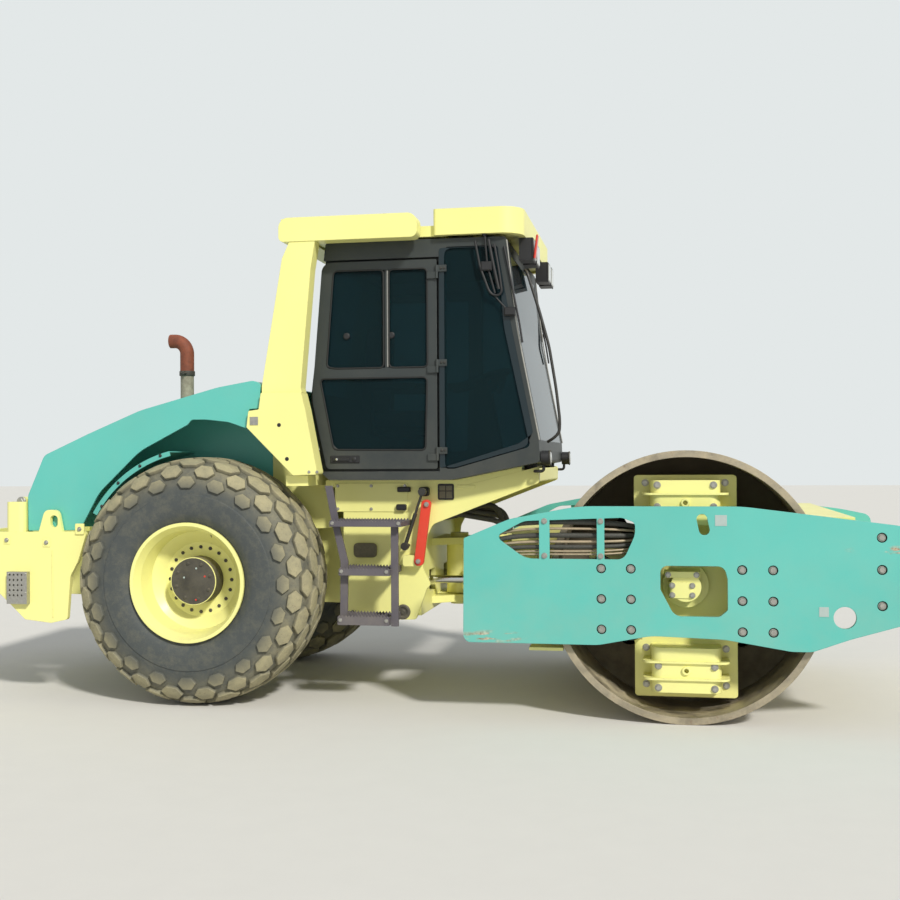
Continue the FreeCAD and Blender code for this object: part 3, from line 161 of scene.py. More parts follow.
# sprayed coat on steel: slow colour drift, fine orange peel, rounded and slightly worn edges, dust on upward faces
def sprayed(name, base, worn, dustShare, low, roughness=0.42, wear=0.5, coat=0.15, scuffs=()):
    material, add, where = blank(name)
    normal = add("NewGeometry", out="Normal")
    rounded = add("Bevel", {"Radius": 0.004}, samples=4)  # 4 mm edge radius
    facing = add("VectorMath", {0: rounded, 1: normal}, "Value", operation="DOT_PRODUCT")
    edge = add("MapRange", {0: facing, 1: 0.995, 2: 0.85})
    drift = spots(add, where, 1.1, 0.3, 0.7, 3.0)
    tint = add("Mix", {0: drift, 6: colour(base), 7: colour(base, 0.9)}, **blend)
    chips = add("Math", {0: edge, 1: spots(add, where, 38.0, 0.52, 0.6)}, **times)
    chips = add("Math", {0: chips, 1: wear}, **times)
    tint = add("Mix", {0: chips, 6: tint, 7: colour(worn)}, **blend)

    up = add("MapRange", {0: add("SeparateXYZ", {0: normal}, 2), 1: 0.2, 2: 1.0})
    near = add("MapRange", {0: add("SeparateXYZ", {0: where}, 2), 1: low + 0.75, 2: low})  # near the ground
    settled = add("Math", {0: add("Math", {0: up, 1: 0.7}, **times), 1: add("Math", {0: near, 1: 0.35}, **times)},
                  **plus)
    settled = add("Math", {0: settled, 1: 0.12}, **plus)
    film = add("Math", {0: spots(add, where, 5.0, 0.3, 0.75, 8.0, 0.7), 1: settled}, **times)
    film = add("Math", {0: film, 1: dustShare}, **times)
    tint = add("Mix", {0: film, 6: tint, 7: colour("#B7AD92")}, **blend)

    for centre, size in scuffs:  # paint rubbed through to primer and rust, fading out from a centre
        far = add("VectorMath", {0: where, 1: centre}, operation="SUBTRACT")
        far = add("VectorMath", {0: far, 1: tuple(1 / r for r in size)}, operation="MULTIPLY")
        far = add("VectorMath", {0: far}, "Value", operation="LENGTH")
        close = add("MapRange", {0: far, 1: 1.0, 2: 0.3})
        rubbed = spots(add, where, 16.0, 0.5, 0.56, 6.0, 0.6, stretch=(0.35, 1.0, 1.6))
        rubbed = add("Math", {0: rubbed, 1: close}, **times)
        rusty = spots(add, where, 40.0, 0.4, 0.6, 6.0)
        under = add("Mix", {0: rusty, 6: colour("#C9C2AA"), 7: colour("#96603F")}, **blend)
        tint = add("Mix", {0: rubbed, 6: tint, 7: under}, **blend)
        chips = add("Math", {0: chips, 1: rubbed}, **larger)

    rough = add("MapRange", {0: add("Math", {0: film, 1: chips}, **plus), 3: roughness, 4: 0.85})
    peel = add("TexNoise", {"Scale": 420.0, "Detail": 2.0, "Vector": where})  # 2 mm orange peel
    dents = add("TexNoise", {"Scale": 7.0, "Detail": 2.0, "Vector": where})
    relief = add("Math", {0: add("Math", {0: peel, 1: 0.1}, **times), 1: add("Math", {0: dents, 1: 0.9}, **times)},
                 **plus)
    bump = add("Bump", {"Strength": 0.12, "Distance": 0.004, "Height": relief, "Normal": rounded})
    return finished(material, add, {"Base Color": tint, "Roughness": rough, "Normal": bump,
                                    "Coat Weight": coat, "Coat Roughness": 0.25})


# rolled steel polished by soil: brushed bands round the drum, dust film, rust freckles
def rolledSteel():
    material, add, where = blank("rolledSteel")
    streaks = spots(add, where, 3.0, 0.25, 0.75, 8.0, 0.7, stretch=(2.0, 30.0, 2.0))
    tint = add("Mix", {0: streaks, 6: colour("#857C6C"), 7: colour("#AFA591")}, **blend)
    soil = spots(add, where, 6.0, 0.38, 0.64, 8.0, 0.75)
    tint = add("Mix", {0: soil, 6: tint, 7: colour("#B3A78C")}, **blend)
    rust = add("Math", {0: spots(add, where, 22.0, 0.6, 0.72, 8.0, 0.7), 1: 0.55}, **times)
    tint = add("Mix", {0: rust, 6: tint, 7: colour("#7C4F33")}, **blend)
    grit = add("TexNoise", {"Scale": 160.0, "Detail": 6.0, "Vector": where})
    rounded = add("Bevel", {"Radius": 0.004}, samples=4)  # 4 mm edge radius
    bump = add("Bump", {"Strength": 0.25, "Distance": 0.002, "Height": grit, "Normal": rounded})
    return finished(material, add, {"Base Color": tint, "Normal": bump,
                                    "Roughness": add("MapRange", {0: soil, 3: 0.38, 4: 0.8}),
                                    "Metallic": add("MapRange", {0: soil, 3: 0.75, 4: 0.05})})


# moulded rubber: black compound under pale road dust, which stays on the tread blocks and thins towards the rim
def dustyRubber():
    material, add, where = blank("tyreRubber")
    across = add("CombineXYZ", {0: add("SeparateXYZ", {0: where}), 1: 0.0, 2: add("SeparateXYZ", {0: where}, 2)})
    middle = (place["axleX"], 0.0, place["axleZ"])
    radius = add("VectorMath", {0: across, 1: middle}, "Value", operation="DISTANCE")
    outer = add("MapRange", {0: radius, 1: 0.54, 2: 0.66})
    raised = add("Attribute", out="Fac", attribute_name="raised")
    patches = spots(add, where, 9.0, 0.35, 0.62, 8.0, 0.75)
    held = add("Math", {0: add("Math", {0: patches, 1: 0.36}, **times), 1: add("Math", {0: raised, 1: 0.46}, **times)},
               **plus)
    film = add("Math", {0: outer, 1: add("Math", {0: held, 1: 0.12}, **plus)}, **times)
    thin = add("Math", {0: spots(add, where, 14.0, 0.45, 0.8, 8.0, 0.8), 1: 0.22}, **times)
    film = add("Math", {0: film, 1: thin}, **larger)
    tint = add("Mix", {0: film, 6: colour("#454A4A"), 7: colour("#ABA381")}, **blend)
    crumbs = add("Math", {0: spots(add, where, 60.0, 0.55, 0.68, 6.0, 0.8), 1: outer}, **times)
    crumbs = add("Math", {0: crumbs, 1: 0.55}, **times)
    tint = add("Mix", {0: crumbs, 6: tint, 7: colour("#5E5344")}, **blend)
    grain = add("TexNoise", {"Scale": 90.0, "Detail": 8.0, "Roughness": 0.75, "Vector": where})
    bump = add("Bump", {"Strength": 0.45, "Distance": 0.004, "Height": grain})
    return finished(material, add, {"Base Color": tint, "Normal": bump,
                                    "Roughness": add("MapRange", {0: film, 3: 0.62, 4: 0.95})})


# plain moulded or machined stuff: one colour with fine speckle, even roughness and a small grain
def plain(name, base, roughness, metallic=0.0, grain=300.0, depth=0.0004, shade=0.8, coat=0.0):
    material, add, where = blank(name)
    tint = add("Mix", {0: spots(add, where, grain / 8, 0.35, 0.65, 6.0), 6: colour(base), 7: colour(base, shade)},
               **blend)
    fine = add("TexNoise", {"Scale": grain, "Detail": 4.0, "Vector": where})
    bump = add("Bump", {"Strength": 0.3, "Distance": depth, "Height": fine})
    return finished(material, add, {"Base Color": tint, "Roughness": roughness, "Metallic": metallic,
                                    "Coat Weight": coat, "Normal": bump})


# safety glass, dark tint in the mass, with a thin uneven film of dust
def tintedGlass():
    material, add, where = blank("tintedSafetyGlass")
    haze = spots(add, where, 1.6, 0.35, 0.8, 2.0, 0.5)
    tint = add("Mix", {0: haze, 6: colour("#2C4F57"), 7: colour("#35595F")}, **blend)
    return finished(material, add, {"Base Color": tint, "Roughness": add("MapRange", {0: haze, 3: 0.0, 4: 0.03}),
                                    "Transmission Weight": 0.85, "IOR": 1.15})


# heat-rusted pipe: brown scale on the elbow, bare grey-beige steel under the clamp
def heatedPipe():
    material, add, where = blank("heatRustedPipe")
    upper = add("MapRange", {0: add("SeparateXYZ", {0: where}, 2), 1: 2.07, 2: 2.078})
    scale = spots(add, where, 18.0, 0.35, 0.65, 8.0, 0.7)
    scale = add("Mix", {0: scale, 6: colour("#8E4C33"), 7: colour("#6C3B2A")}, **blend)
    bare = spots(add, where, 26.0, 0.35, 0.65, 8.0, 0.7)
    bare = add("Mix", {0: bare, 6: colour("#A09B88"), 7: colour("#7E7868")}, **blend)
    fine = add("TexNoise", {"Scale": 220.0, "Detail": 6.0, "Vector": where})
    bump = add("Bump", {"Strength": 0.4, "Distance": 0.001, "Height": fine})
    return finished(material, add, {"Base Color": add("Mix", {0: upper, 6: bare, 7: scale}, **blend),
                                    "Roughness": 0.72, "Normal": bump})


# (centre, half sizes) of the patches on both plates: lower rear corner and upper front edge
scrapes = [((x, side * 1.125, z), size) for x, z, size in (
    (0.52, 0.475, (0.24, 0.05, 0.045)), (2.7, 0.985, (0.26, 0.05, 0.03))) for side in (-1, 1)]

paint = {
    # acrylic enamel, sprayed: pale lemon and pale blue-green
    "yellowEnamel": sprayed("yellowEnamel", "#F9F69C", "#8C7F55", 0.4, 0.35),
    "tealEnamel": sprayed("tealEnamel", "#5FC1B6", "#39584F", 0.45, 0.35, scuffs=scrapes),
    # powder coat, baked
    "cabPowderCoat": sprayed("cabPowderCoat", "#2B3233", "#6F7674", 0.2, 1.2, roughness=0.5, coat=0.05),
    # brushed paint, trodden
    "stepPaint": sprayed("stepPaint", "#57535C", "#8F8B84", 0.5, 0.4, roughness=0.6, wear=0.8, coat=0.0),
    # sprayed alkyd paint
    "signalRed": sprayed("signalRed", "#E23B22", "#7B4038", 0.25, 0.6),
    "blackPaint": sprayed("blackPaint", "#1D1D1D", "#5C5852", 0.5, 0.4, roughness=0.45),
    # cast iron, left to the soil or under thin paint
    "drumIron": sprayed("castDrumHead", "#5A5140", "#7A6A50", 0.95, 0.2, roughness=0.8, coat=0.0),
    "axleIron": sprayed("axleIron", "#33322E", "#6B6152", 0.8, 0.3, roughness=0.65, coat=0.0),
    "rolledSteel": rolledSteel(),
    "tyreRubber": dustyRubber(),
    "mouldedRubber": plain("mouldedRubber", "#1F1F1E", 0.7, grain=200.0),
    # wrapped in cloth while it was cured
    "hoseRubber": plain("wrappedHoseRubber", "#4A4943", 0.6, grain=900.0, depth=0.0008, shade=0.6),
    "tintedGlass": tintedGlass(),
    "heatedPipe": heatedPipe(),
    "zincSteel": plain("zincPlatedSteel", "#B4B2AB", 0.42, 0.8, grain=500.0),
    "pipeSteel": plain("phosphatedPipeSteel", "#B3A287", 0.5, 0.25, grain=400.0),  # tan film from phosphating
    "hardChrome": plain("hardChrome", "#C9C9C6", 0.12, 1.0, grain=800.0, depth=0.0001, shade=0.95),
    "blackPlastic": plain("mouldedPolypropylene", "#202022", 0.5, grain=900.0),
    "consolePlastic": plain("mouldedAbs", "#34342F", 0.55, grain=1200.0),
    "fadedPlastic": plain("sunFadedPolypropylene", "#77715B", 0.6, grain=500.0),
    # black border fired on the glass
    "frit": plain("firedCeramicBorder", "#13242A", 0.22, grain=90.0, depth=0.0001, shade=0.9),
    "seatCloth": plain("wovenPolyester", "#2A2B2E", 0.95, grain=1400.0, depth=0.0012, shade=0.55),
    "lampGlass": plain("pressedLampGlass", "#C9CCC8", 0.12, grain=60.0, depth=0.002, coat=0.6),
    "redLens": plain("redAcrylic", "#D8402E", 0.2, grain=60.0, coat=0.5),
    "amberLens": plain("amberAcrylic", "#D98A2B", 0.2, grain=60.0, coat=0.5),
    "paleFoil": plain("vinylFoil", "#AEBDB9", 0.4, grain=200.0, depth=0.0001, shade=0.92),
    "sealRubber": plain("extrudedSealRubber", "#191A1A", 0.62, grain=700.0),
    "brass": plain("turnedBrass", "#B89A4C", 0.35, 0.9, grain=500.0),
    # near-black, only for the discs that paint the shade inside the bolt recesses
    "recessShade": plain("paintedRecessShade", "#151312", 0.95, grain=300.0),
}

# nodes by paint; a name that ends in _ stands for its right and its left one
nodePaint = {
    "yellowEnamel": ["rear_crossbeam", "front_crossbeam", "drum_support_", "scrapers", "articulation_yoke", "rim_",
                     "rear_frame", "frame_side_", "rear_bumper", "rops_frame", "cab_roof", "cab_crossbeam"],
    "tealEnamel": ["front_plate_", "hood_shell", "hood_mudguards"],
    "cabPowderCoat": ["cab_frame", "door_frame_", "hood_grille"],
    "stepPaint": ["step_ladder_"], "signalRed": ["lock_bar"], "blackPaint": ["cylinder_barrel_", "latch_strut"],
    "axleIron": ["rear_axle", "engine_block"], "drumIron": ["drum_heads"], "rolledSteel": ["drum_shell"],
    "tyreRubber": ["tyre_"], "mouldedRubber": ["rubber_buffers", "cab_mounts"],
    "hoseRubber": ["front_hoses", "pivot_hoses"], "hardChrome": ["cylinder_rod_"],
    "tintedGlass": ["windscreen", "rear_window", "side_glass_", "door_glass_"],
    "heatedPipe": ["exhaust_stack"], "blackPlastic": ["work_lamps"], "zincSteel": ["vent_boxes"],
    "seatCloth": ["operator_seat"], "consolePlastic": ["steering_column"],
}
for key, names in nodePaint.items():
    for name in names:
        for node in ([name + side for side in sides] if name.endswith("_") else [name]):
            nodes[node].data.materials.clear()
            nodes[node].data.materials.append(paint[key])
print("materials done")

# floor: one large matt sheet
reach = studio["floorReach"]
floorMesh = bpy.data.meshes.new("floor")
floorMesh.from_pydata([(-reach, -reach, 0), (reach, -reach, 0), (reach, reach, 0), (-reach, reach, 0)], [],
                      [(0, 1, 2, 3)])
floorMesh.materials.append(plain("mattPaper", studio["floor"], 0.95, grain=40.0, depth=0.0002, shade=0.985))
linked("floor", floorMesh)


# geometry: points are arrays, faces are rows of indices; each piece is joined, cleaned and smoothed once

# quads (i, j), (i + 1, j), (i + 1, j + 1), (i, j + 1) of a grid, closed in a direction that loops
def gridFaces(copies, nu, nv, loopU=False, loopV=False):
    i, j = np.meshgrid(np.arange(nu - (not loopU)), np.arange(nv - (not loopV)), indexing="ij")
    i, j, ii, jj = i.ravel(), j.ravel(), (i.ravel() + 1) % nu, (j.ravel() + 1) % nv
    quads = np.stack([i * nv + j, ii * nv + j, ii * nv + jj, i * nv + jj], 1)
    return (np.arange(copies)[:, None, None] * nu * nv + quads).reshape(-1, 4).tolist()


def unit(vectors):
    return vectors / np.linalg.norm(vectors, axis=-1, keepdims=True)


def lengths(line):  # way along a line to each of its points
    return np.concatenate([[0], np.cumsum(np.linalg.norm(np.diff(line, axis=0), axis=1))])


# centre + h * axis + r * (1 - x + x * cos 30 / cos((t mod 60) - 30)) * (u cos t + v sin t); x = 1 makes a hexagon
def turned(centres, axis, profile, sides=24, turn=0.0):
    centres, axis = np.atleast_2d(np.array(centres, float)), unit(np.array(axis, float))
    u = unit(np.cross(axis, (0, 0, 1) if abs(axis[2]) < 0.9 else (1, 0, 0)))
    rows = np.array([tuple(row) + (0,) * (3 - len(row)) for row in profile], float)
    t = np.arange(sides) / sides * 2 * math.pi + math.radians(turn)
    hexagon = math.cos(math.pi / 6) / np.cos(t % (math.pi / 3) - math.pi / 6)
    radius = rows[:, :1] * (1 - rows[:, 2:] + rows[:, 2:] * hexagon)
    ring = np.cos(t)[:, None] * u + np.sin(t)[:, None] * np.cross(axis, u)
    points = centres[:, None, None] + rows[:, 1][:, None, None] * axis + radius[..., None] * ring
    return points.reshape(-1, 3), gridFaces(len(centres), len(rows), sides, loopV=True)


# hexagon head on a washer: (radius, height, 1 for the hexagon), all by half the width over its corners
boltForm = [(0, -0.2), (1.3, -0.2), (1.3, 0.1), (1.22, 0.18), (1.0, 0.18, 1), (1.0, 0.78, 1), (0.88, 0.9, 1),
            (0, 0.9, 1)]


def bolts(centres, size, axis=outward, turn=0.0):
    return turned(centres, axis, [(r * size, h * size) + tuple(rest) for r, h, *rest in boltForm], turn=turn)


def rod(start, end, radius, sides=20):  # round bar with its ends chamfered
    start, end = np.array(start, float), np.array(end, float)
    length = np.linalg.norm(end - start)
    bevel = min(0.0015, radius / 2, length / 2)
    profile = [(0, 0), (radius - bevel, 0), (radius, bevel), (radius, length - bevel), (radius - bevel, length),
               (0, length)]
    return turned(start, end - start, profile, sides)


# each corner c turns into (1 - t)^2 p + 2 t (1 - t) c + t^2 q, with p and q on its sides at the given reach
def bent(points, reach, steps=6, loop=False):
    c = np.array(points, float)
    back, ahead = np.roll(c, 1, 0) - c, np.roll(c, -1, 0) - c
    longBack, longAhead = np.linalg.norm(back, axis=1), np.linalg.norm(ahead, axis=1)
    reach = np.minimum(reach, 0.49 * np.minimum(longBack, longAhead))[:, None]
    p, q = c + back / longBack[:, None] * reach, c + ahead / longAhead[:, None] * reach
    t = np.linspace(0, 1, steps + 1)[None, :, None]
    curve = (1 - t) ** 2 * p[:, None] + 2 * t * (1 - t) * c[:, None] + t ** 2 * q[:, None]
    if loop:
        return curve.reshape(-1, c.shape[1])
    return np.concatenate([c[:1], curve[1:-1].reshape(-1, c.shape[1]), c[-1:]])


def oblong(low, high, reach, steps=4):  # closed outline with rounded corners
    (x0, z0), (x1, z1) = low, high
    return bent([(x0, z0), (x1, z0), (x1, z1), (x0, z1)], reach, steps, True)


# path + r * (side * cos t + up * sin t); side = tangent x ref, ref is the direction the path turns around
def swept(path, radius, sides=14):
    path = np.array(path, float)
    path = path[np.concatenate([[True], np.linalg.norm(np.diff(path, axis=0), axis=1) > 1e-5])]
    tangent = unit(np.gradient(path, axis=0))
    ref = np.linalg.eigh(tangent.T @ tangent)[1][:, 0]
    side = unit(np.cross(tangent, ref))
    up = np.cross(side, tangent)
    t = np.arange(sides) / sides * 2 * math.pi
    rows = np.concatenate([[0], np.arange(len(path)), [len(path) - 1]])
    spread = np.concatenate([[0], np.full(len(path), radius), [0]])
    ring = np.cos(t)[None, :, None] * side[rows][:, None] + np.sin(t)[None, :, None] * up[rows][:, None]
    points = path[rows][:, None] + spread[:, None, None] * ring
    return points.reshape(-1, 3), gridFaces(1, len(rows), sides, loopV=True)


# rings (p - m b, low), (p, low + b), (p, high - b), (p - m b, high) of the outline p, m its mitre and b the bevel
def slab(outline, low, high, bevel=0.0015, axis=1):
    p = np.array(outline, float)
    turnSum = (p[:, 0] * np.roll(p[:, 1], -1) - p[:, 1] * np.roll(p[:, 0], -1)).sum()
    p = p[::-1] if turnSum < 0 else p
    back, ahead = unit(p - np.roll(p, 1, 0)), unit(np.roll(p, -1, 0) - p)
    a, b = np.stack([back[:, 1], -back[:, 0]], 1), np.stack([ahead[:, 1], -ahead[:, 0]], 1)
    mitre = (a + b) / np.maximum(1 + (a * b).sum(1), 0.4)[:, None]
    rings = np.stack([p - mitre * bevel, p, p, p - mitre * bevel])
    levels = np.array([low, low + bevel, high - bevel, high])[:, None] + np.zeros((4, len(p)))
    points = np.insert(rings, axis, levels, axis=2)
    n = len(p)
    return points.reshape(-1, 3), gridFaces(1, 4, n, loopV=True) + [list(range(n)), list(range(3 * n, 4 * n))]


def brick(low, high, bevel, axis=1):  # box with its edges bevelled across the axis
    (a, b), (c, d) = [(low[k], high[k]) for k in range(3) if k != axis]
    return slab([(a, c), (b, c), (b, d), (a, d)], low[axis], high[axis], bevel, axis)


# ring between two outlines that start at the same side: outer low, outer high, inner high, inner low
def border(outer, inner, low, high, count=96):
    loops = []
    for outline in (outer, inner):
        p = np.concatenate([outline, outline[:1]])
        s = lengths(p)
        at = np.sort(np.concatenate([s[:-1], np.linspace(0, s[-1], count - len(s) + 1, endpoint=False) + 1e-7]))
        loops.append(np.stack([np.interp(at, s, p[:, k]) for k in range(2)], 1))
    rings = np.stack([loops[0], loops[0], loops[1], loops[1]])
    points = np.insert(rings, 1, 0.0, axis=2)
    points[..., 1] = np.array([low, high, high, low])[:, None]
    return points.reshape(-1, 3), gridFaces(1, 4, rings.shape[1], True, True)


def rotated(part, axis, degrees, centre):  # centre + R (p - centre)
    return (part[0] - np.array(centre)) @ np.array(turnAbout(axis, degrees)).T + np.array(centre), part[1]


def flipped(parts, y=-1):
    return [(points * (1, y, 1), faces) for points, faces in parts]


def piece(name, body, key, parts, both=False, sharp=34, raised=None):
    parts = parts + flipped(parts) if both else parts
    starts = np.cumsum([0] + [len(points) for points, faces in parts])
    faces = [[start + k for k in face] for start, (points, rows) in zip(starts.tolist(), parts) for face in rows]
    mesh = bpy.data.meshes.new(name)
    mesh.from_pydata(np.concatenate([points for points, rows in parts]).tolist(), [], faces)
    if raised is not None:
        mesh.attributes.new("raised", "FLOAT", "POINT").data.foreach_set("value", raised.astype(np.float32))
    work = bmesh.new()
    work.from_mesh(mesh)
    bmesh.ops.remove_doubles(work, verts=work.verts, dist=1e-5)
    bmesh.ops.dissolve_degenerate(work, edges=work.edges, dist=1e-6)
    bmesh.ops.recalc_face_normals(work, faces=work.faces)
    work.to_mesh(mesh)
    work.free()
    mesh.shade_smooth()
    mesh.set_sharp_from_angle(angle=math.radians(sharp))
    mesh.materials.append(paint[key])
    made = linked(name, mesh)
    if body:
        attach(made, body)
    return made


# tyres: round carcass with staggered rows of hexagonal lugs that follow its surface

tyreForm = {
    "lugs": 20, "middle": 0.819, "steps": 160, "cornerReach": 0.016,
    # half of the section from the crown to the rim: (distance from the middle, radius), and the bead below the rim
    "section": [(0, 0.7275), (0.105, 0.724), (0.182, 0.712), (0.232, 0.684), (0.262, 0.64), (0.277, 0.59),
                (0.285, 0.545), (0.286, 0.531), (0.2915, 0.529), (0.2925, 0.5), (0.2915, 0.455), (0.2835, 0.41),
                (0.268, 0.378), (0.262, 0.3635)],
    "bead": [(0.262, 0.3625), (-0.262, 0.3625)],
    # rows: (way along the section, half length round the tyre, half width, height, share of the pitch)
    "rows": [(0.0, 0.087, 0.046, 0.0265, 0.0), (0.097, 0.088, 0.046, 0.027, 0.5), (0.189, 0.083, 0.044, 0.027, 0.0),
             (0.264, 0.067, 0.038, 0.024, 0.5), (0.334, 0.057, 0.035, 0.019, 0.0)],
    "outline": [(1, 0), (0.5, 1), (-0.5, 1), (-1, 0), (-0.5, -1), (0.5, -1)],
    "rings": [(1.07, -0.35), (1.05, 0.2), (1.0, 0.9), (0.955, 1.0), (0.5, 1.02),
              (0.0, 1.02)],  # (scale, share of the height)
    "wear": (-0.05, 0.03),
}


# point = centre + (offset + h n1) y + (radius + h n2) (x sin a + z cos a), n the section's normal
def tyreParts(form, side):
    half = bent(form["section"], form["cornerReach"], 4)
    way = lengths(half)
    normal = -unit(np.gradient(half, axis=0) @ np.array([[0, 1.0], [-1.0, 0]]))
    normal *= np.sign(normal[0, 1])
    whole = np.concatenate([half[::-1] * (-1, 1), half[1:], form["bead"]])
    a = np.arange(form["steps"]) / form["steps"] * 2 * math.pi
    hub = np.array([place["axleX"], side * form["middle"], place["axleZ"]])
    spin = np.stack([np.sin(a), 0 * a, np.cos(a)], 1)
    points = whole[:, 0][None, :, None] * np.array([0, 1.0, 0]) + whole[:, 1][None, :, None] * spin[:, None]
    parts = [((points + hub).reshape(-1, 3), gridFaces(1, len(a), len(whole), True, True))]
    raised = [np.zeros(len(a) * len(whole))]
    corners = bent(form["outline"], 0.06, 2, loop=True)
    scales, heights = np.array(form["rings"]).T
    count = form["lugs"]
    for where, longHalf, wideHalf, height, phase in form["rows"]:
        for flip in ((1, -1) if where else (1,)):
            worn = 1 + rng.uniform(*form["wear"], (count, 1, 1))
            across = where + scales[None, :, None] * corners[None, None, :, 1] * wideHalf * worn
            around = scales[None, :, None] * corners[None, None, :, 0] * longHalf * worn
            lift = heights[None, :, None] * height * worn + 0 * across
            reach, away = np.abs(across), np.sign(across + 1e-12)
            offset = np.interp(reach, way, half[:, 0]) * away
            radius = np.interp(reach, way, half[:, 1])
            n1 = np.interp(reach, way, normal[:, 0]) * away
            n2 = np.interp(reach, way, normal[:, 1])
            angle = ((np.arange(count) + phase) / count * 2 * math.pi)[:, None, None] + around / radius
            far = radius + lift * n2
            local = np.stack([far * np.sin(angle), flip * (offset + lift * n1) + 0 * far, far * np.cos(angle)], -1)
            bottom = np.broadcast_to(local[:, :1].mean(2, keepdims=True), local[:, :1].shape)
            local = np.concatenate([bottom, local], 1)
            parts.append(((local + hub).reshape(-1, 3), gridFaces(count, len(scales) + 1, len(corners), loopV=True)))
            high = np.concatenate([[0], np.clip(heights, 0, 1)])[None, :, None] ** 3
            raised.append((high + np.zeros((count, 1, len(corners)))).ravel())
    return parts, np.concatenate(raised)


for name, side in sides.items():
    parts, raised = tyreParts(tyreForm, side)
    tyre = piece("tyreWithLugs_" + name, "wheel_" + name, "tyreRubber", parts, sharp=28,
                 raised=raised)
    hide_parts("tyre_" + name)

# rims: dark hub cover, ring of bolts, valve and paint marks on the cover's face

rimForm = {
    "bolts": (20, 0.2, 0.0), "dish": 0.8715, "boltSize": 0.012,  # (count, ring's radius, start in radians)
    "plugs": (8, 0.112, 0.3), "face": 1.001, "plugSize": 0.009, "marksFace": 1.002,
    # profile of the cover: (radius, way out from the middle of the axle)
    "cover": [(0, 0.868), (0.1455, 0.868), (0.1455, 0.994), (0.139, 1.002), (0.06, 1.002), (0.056, 1.0035),
              (0, 1.0035)],
    "mark": [(0, 0), (0.006, 0), (0.006, 0.0025), (0, 0.003)],
    # marks from the axle: (x, z)
    "marks": {"redLens": [(0.075, 0.03), (0.018, -0.112)], "paleFoil": [(0.02, 0.078), (-0.058, 0.022)]},
    # valve stem from the axle: (x, way out, z)
    "stem": [(0.075, 0.876, 0.235), (0.082, 0.905, 0.262), (0.088, 0.955, 0.292)], "stemRadius": 0.0042,
}


def onWheel(points):  # (x, y, z) from the axle's middle to the shared frame
    return np.array(points) + (place["axleX"], 0, place["axleZ"])


def wheelRing(count, radius, start, y):
    t = np.arange(count) / count * 2 * math.pi + start
    return onWheel(np.stack([radius * np.cos(t), 0 * t + y, radius * np.sin(t)], 1))


for name, side in sides.items():
    wheel, out = "wheel_" + name, (0, side, 0)
    rimBolts = wheelRing(*rimForm["bolts"], side * rimForm["dish"])
    piece("rimBolts_" + name, wheel, "blackPaint", [bolts(rimBolts, rimForm["boltSize"], out)])
    plugs = bolts(wheelRing(*rimForm["plugs"], side * rimForm["face"]), rimForm["plugSize"], out)
    piece("hubCover_" + name, wheel, "axleIron", [turned(onWheel([(0, 0, 0)]), out, rimForm["cover"], 64), plugs])
    for key, marks in rimForm["marks"].items():
        marks = onWheel([(x, side * rimForm["marksFace"], z) for x, z in marks])
        piece("hubMark" + key + "_" + name, wheel, key, [turned(marks, out, rimForm["mark"], 12)])
    stem = onWheel([(x, side * y, z) for x, y, z in rimForm["stem"]])
    piece("valveStem_" + name, wheel, "zincSteel", [swept(bent(stem, 0.02), rimForm["stemRadius"])])
print("tyres and rims done")

# drum frame: bolts in their recesses on near-black discs that are painted shade, blank tags

plateForm = {
    "bufferX": (-0.466, -0.302, 0.302, 0.466), "bufferZ": (0.871, 0.701, 0.531),
    "nose": [(1.033, z) for z in (1.053, 0.88, 0.686)],
    "boltSize": 0.017, "recessFloor": -1.113, "shadeDisc": [(0, -0.002), (0.0267, -0.002), (0.0267, 0.0012), (0, 0.0012)],
    "tags": [((1.768, -1.1268, 1.112), (1.832, -1.1245, 1.172)), ((2.315, -1.1268, 0.623), (2.366, -1.1245, 0.676))],
}
holes = [(x, z) for x in plateForm["bufferX"] for z in plateForm["bufferZ"]] + plateForm["nose"]
holes = [(frontX(x), plateForm["recessFloor"], z) for x, z in holes]
# near-black disc on each recess floor: painted shade of the recess around the bolt
piece("boltRecessShade", front, "recessShade", [turned(holes, outward, plateForm["shadeDisc"], 32)], both=True)
piece("plateBolts", front, "zincSteel", [bolts(holes, plateForm["boltSize"], turn=12)], both=True)
piece("plateTags", front, "paleFoil", [brick(low, high, 0.0006) for low, high in plateForm["tags"]], both=True)
print("drum frame details done")

# hoses: each follows the smooth line of its route

hoseForm = {
    "plateX": frontX(-1.1297), "laneY": -1.085, "endY": -0.975,
    "wayX": [frontX(x) for x in (-1.1, -1.0, -0.4, -0.23, -0.1503)],
    "endTop": 1.088, "endPitch": 0.02,
    "rows": [(1.128, 1.04, 0.0145), (1.091, 1.016, 0.007), (1.053, 0.99, 0.0145), (1.017, 0.966, 0.008),
             (0.988, 0.944, 0.012),
             (0.963, 0.924, 0.006), (0.945, 0.911, 0.006)],  # (height in the window, height at the plate, radius)
    "pipesUnder": 0.01,  # thinner ones are steel pipes
    "pivotRadius": 0.018, "pivotStartX": 0.0063, "pivotX": [place["pivotX"] + x for x in (0.02, 0.19, 0.33)],
    "pivotPitch": 0.018, "pivotDrop": 0.03, "pivotFoot": 1.0123,
    "pivotRows": [(-0.09, -0.08, 1.15, 1.135), (-0.18, -0.15, 1.12, 1.178), (-0.27, -0.22, 1.15, 1.15),
                  (-0.35, -0.29, 1.11, 1.205),
                  (-0.43, -0.355, 1.15, 1.12)],  # (y behind, y in front, start height, arch height)
    # fitting: (radius, height, 1 for a hexagon), all by the hose's radius
    "fitting": [(0, 0), (1.45, 0, 1), (1.5, 0.1, 1), (1.5, 1.1, 1), (1.4, 1.2, 1), (1.2, 1.25), (1.25, 2.6),
                (1.12, 2.9), (0, 2.9)],
}


